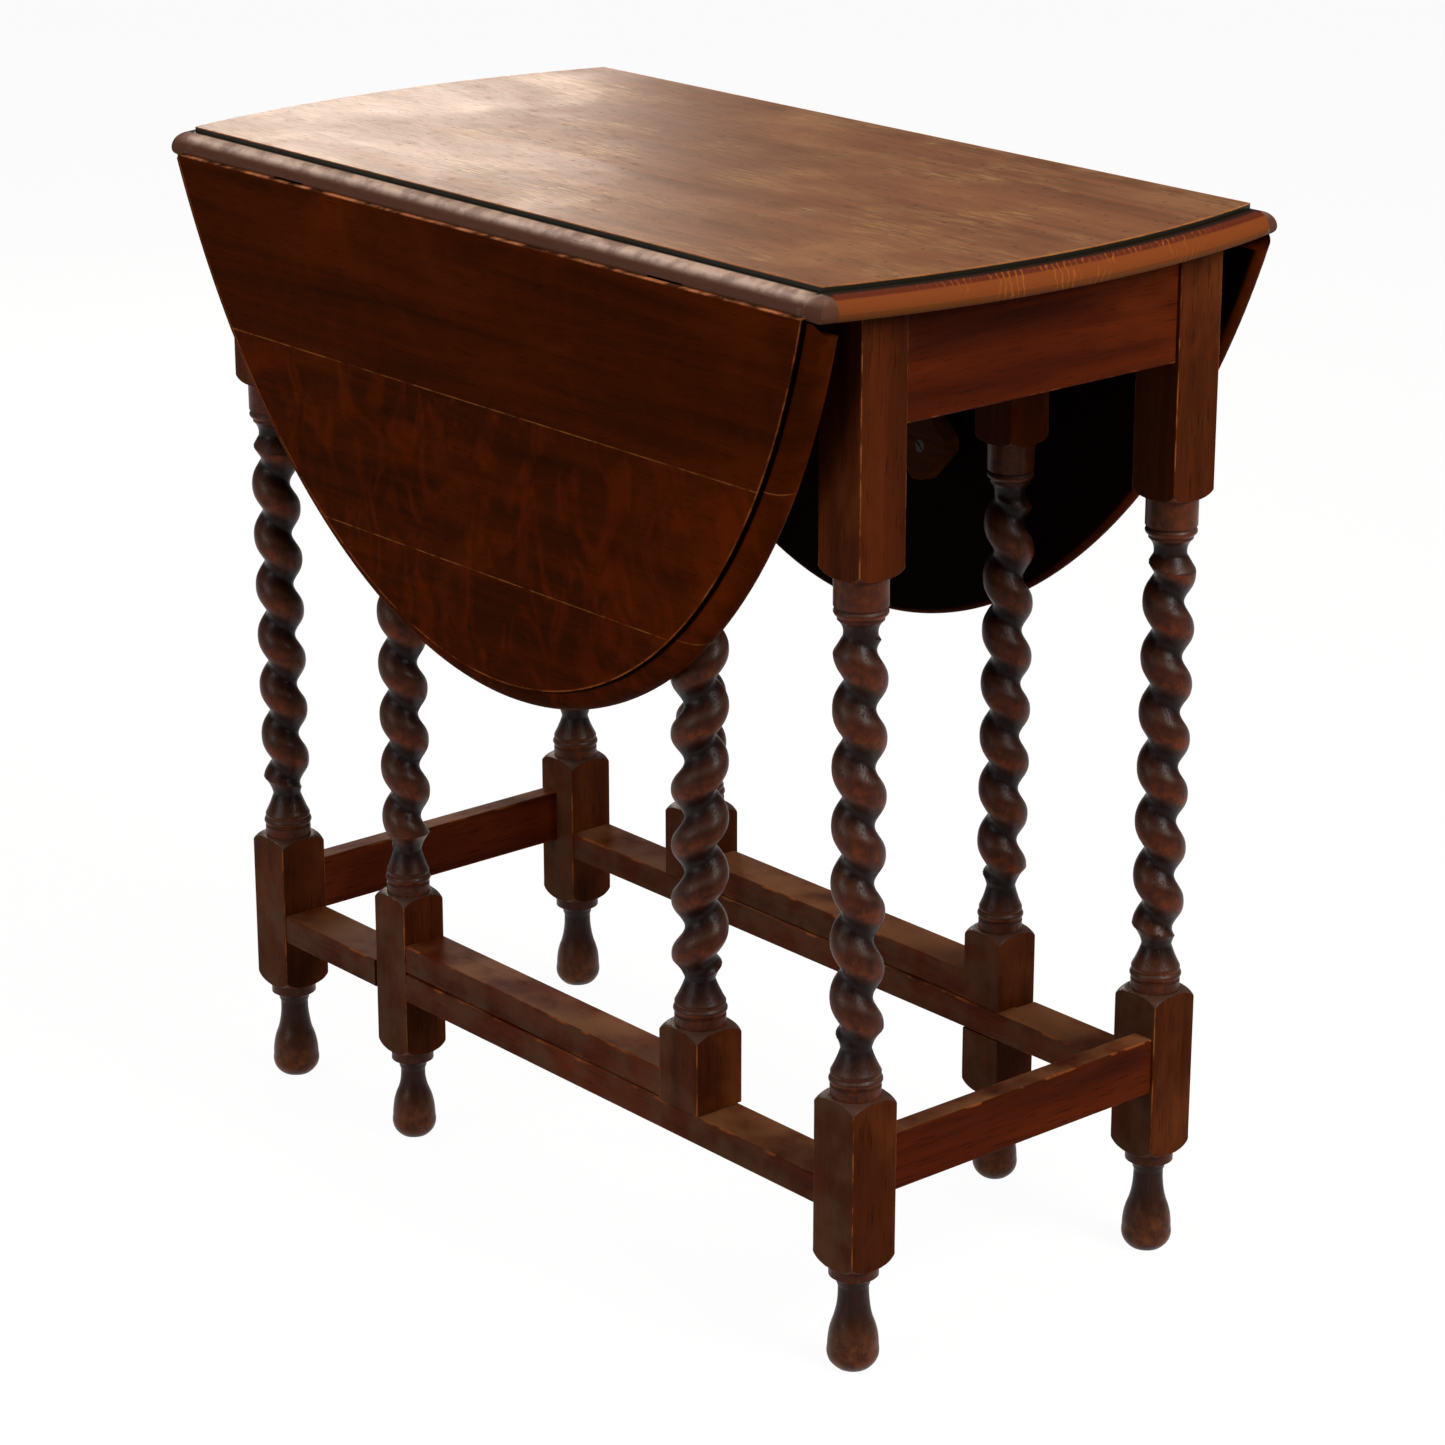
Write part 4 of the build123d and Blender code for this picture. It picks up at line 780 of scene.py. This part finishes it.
# Iron and steel that have gone dull and brown, with rust spots about six millimetres across.
metalLook = {
    "hinge_iron": {"base": "#3a322b", "rust": "#4a2a18", "metallic": 0.9, "rough": 0.5},
    "screw_steel": {"base": "#3e362f", "rust": "#3c2416", "metallic": 1.0, "rough": 0.42},
}
rustSpots = {
    "size": 6, "bare": 0.45, "full": 0.70, "roughBand": {1: 0.3, 2: 0.7}, "rougher": 0.3,
    "bump": 0.3, "bumpDepth": 0.2,
}


def agedMetal(name, look):
    material, tree = newMaterial(name)
    place = addNode(tree, "ShaderNodeTexCoord", out="Object")
    spots = addNode(tree, "ShaderNodeTexNoise", {
        "Vector": place, "Scale": 1 / (rustSpots["size"] * mm), "Detail": 5.0, "Roughness": 0.65})
    color = addNode(tree, "ShaderNodeValToRGB", {0: spots}, stops=(
        (rustSpots["bare"], look["base"]), (rustSpots["full"], look["rust"])))
    rough = addNode(tree, "ShaderNodeMapRange", {
        0: spots, **rustSpots["roughBand"], 3: look["rough"], 4: look["rough"] + rustSpots["rougher"]})
    bump = addNode(tree, "ShaderNodeBump", {
        "Strength": rustSpots["bump"], "Distance": rustSpots["bumpDepth"] * mm, "Height": spots})
    shader = addNode(tree, "ShaderNodeBsdfPrincipled", {
        "Base Color": color, "Roughness": rough, "Metallic": look["metallic"], "Normal": bump})
    addNode(tree, "ShaderNodeOutputMaterial", {"Surface": shader})
    return material


def wear(node, material):
    mesh = nodes[node].data
    mesh.materials.clear()
    mesh.materials.append(material)


sharedFinish = {slot: agedMetal(slot, look) for slot, look in metalLook.items()}
sharedFinish["dark_oak_top"] = topOak("waxed_oak_top", topLook)
leafFinish = {
    side: leafOak(f"waxed_oak_{side}_leaf", turn, leafLook) for side, turn in (("near", -1), ("far", 1))}
for seed, node in enumerate(sorted(nodes)):
    slot = slotOf[node]
    if slot in sharedFinish:
        wear(node, sharedFinish[slot])
    elif slot == "dark_oak_leaf":
        wear(node, leafFinish[node.split("_")[0]])
    elif slot != "dark_oak_turned":
        look = stopLook if slot == "plain_oak_stop" else railLook
        grain = "Y" if "_end_" in node else "X"
        wear(node, railOak("stained_oak_" + node, node, grain, look, seed))
print("boards, rails and iron finished")

turnedPieces = turnedTree()
carvedFinish = carvedOak("polished_oak_twist", carvedLook)
blockFinish = blockOak("stained_oak_block", blockLook)
for seed, node in enumerate(turned):
    wear(node, blockFinish)
    piece = carvePiece(node, seed, turnedPieces, carvedFinish, blockFinish)
    print("carved", node, len(piece.data.polygons), "faces")

# camera: at the photograph's place, looking down along the top
view = {"place": (2.1208, -1.7916, 1.2801), "turn": (71.14, 0.0, 49.49), "lens": 103.75, "sensor": 36.0}
camera = bpy.data.cameras.new("camera")
camera.lens = view["lens"]
camera.sensor_width = view["sensor"]
cameraObject = bpy.data.objects.new("camera", camera)
cameraObject.location = view["place"]
cameraObject.rotation_euler = [math.radians(angle) for angle in view["turn"]]
bpy.context.scene.collection.objects.link(cameraObject)
bpy.context.scene.camera = cameraObject

lamps = {  # place, aim, size and watts: the low window behind gives the top its sheen
    "windowBehind": {
        "place": (-2.63, 1.445, 1.22), "aim": (-0.1, 0.0, 0.73), "size": (0.95, 0.8), "power": 18,
        "tint": "#fff0e0"},
    "windowLeft": {"place": (-2.6, -0.6, 2.9), "aim": (0.0, -0.1, 0.5), "size": (1.2, 1.2), "power": 36},
    "softboxRight": {"place": (2.5, 0.45, 2.2), "aim": (0.2, 0.0, 0.4), "size": (1.5, 1.5), "power": 92},
    "softboxFront": {"place": (-0.2, -3.0, 1.3), "aim": (0.0, 0.0, 0.3), "size": (1.8, 1.8), "power": 42},
    "overhead": {"place": (0.0, 0.0, 3.0), "aim": (0.0, 0.0, 0.7), "size": (2.0, 2.0), "power": 24},
}
for name, lamp in lamps.items():
    light = bpy.data.lights.new(name, "AREA")
    light.shape = "RECTANGLE"
    light.size, light.size_y = lamp["size"]
    light.energy = lamp["power"]
    light.color = linear(lamp.get("tint", "#ffffff"))[:3]
    lampObject = bpy.data.objects.new(name, light)
    lampObject.location = lamp["place"]
    aim = Vector(lamp["aim"]) - Vector(lamp["place"])
    lampObject.rotation_euler = aim.to_track_quat("-Z", "Y").to_euler()
    bpy.context.scene.collection.objects.link(lampObject)

# world: white where the camera looks, and a dim grey studio for the light that falls on the table. Wax
# seen at a low angle would mirror a white room all over, so glossy rays see only a share of the white.
studio = {
    "white": "#ffffff", "grey": "#d8d6d2", "greyStrength": 0.06, "glossShare": 0.12,
    "floor": "#a8a6a2", "floorSize": 8.0, "floorShare": 0.85, "floorGlow": 1.12,
}
world = bpy.data.worlds.new("studio")
bpy.context.scene.world = world
world.use_nodes = True
tree = world.node_tree
tree.nodes.clear()
path = addNode(tree, "ShaderNodeLightPath").node.outputs
seen = addNode(tree, "ShaderNodeMath", {
    0: path["Is Camera Ray"], 1: path["Is Transmission Ray"]}, operation="MAXIMUM")
seen = addNode(tree, "ShaderNodeMath", {
    0: path["Is Glossy Ray"], 1: studio["glossShare"], 2: seen}, operation="MULTIPLY_ADD")
room = addNode(tree, "ShaderNodeBackground", {
    "Color": linear(studio["grey"]), "Strength": studio["greyStrength"]})
white = addNode(tree, "ShaderNodeBackground", {"Color": linear(studio["white"]), "Strength": 1.0})
mixed = addNode(tree, "ShaderNodeMixShader", {0: seen, 1: room, 2: white})
addNode(tree, "ShaderNodeOutputWorld", {"Surface": mixed})

# floor: grey paper that glows white where it is seen, and still takes the table's shadow
floorMesh = bpy.data.meshes.new("floor")
far = studio["floorSize"]
corners = [(-far, -far, 0), (far, -far, 0), (far, far, 0), (-far, far, 0)]
floorMesh.from_pydata(corners, [], [(0, 1, 2, 3)])
floor = bpy.data.objects.new("floor", floorMesh)
bpy.context.scene.collection.objects.link(floor)
floorPaper, tree = newMaterial("white_paper_floor")
paper = addNode(tree, "ShaderNodeBsdfDiffuse", {"Color": linear(studio["floor"])})
glow = addNode(tree, "ShaderNodeEmission", {
    "Color": linear(studio["white"]), "Strength": studio["floorGlow"]})
path = addNode(tree, "ShaderNodeLightPath").node.outputs
seen = addNode(tree, "ShaderNodeMath", {
    0: path["Is Camera Ray"], 1: path["Is Transmission Ray"]}, operation="MAXIMUM")
seen = addNode(tree, "ShaderNodeMath", {0: seen, 1: path["Is Glossy Ray"]}, operation="MAXIMUM")
seen = addNode(tree, "ShaderNodeMath", {0: seen, 1: studio["floorShare"]}, **times)
mixed = addNode(tree, "ShaderNodeMixShader", {0: seen, 1: paper, 2: glow})
addNode(tree, "ShaderNodeOutputMaterial", {"Surface": mixed})
floorMesh.materials.append(floorPaper)

bpy.context.scene.view_settings.view_transform = "Standard"
print("camera, lamps and floor done")
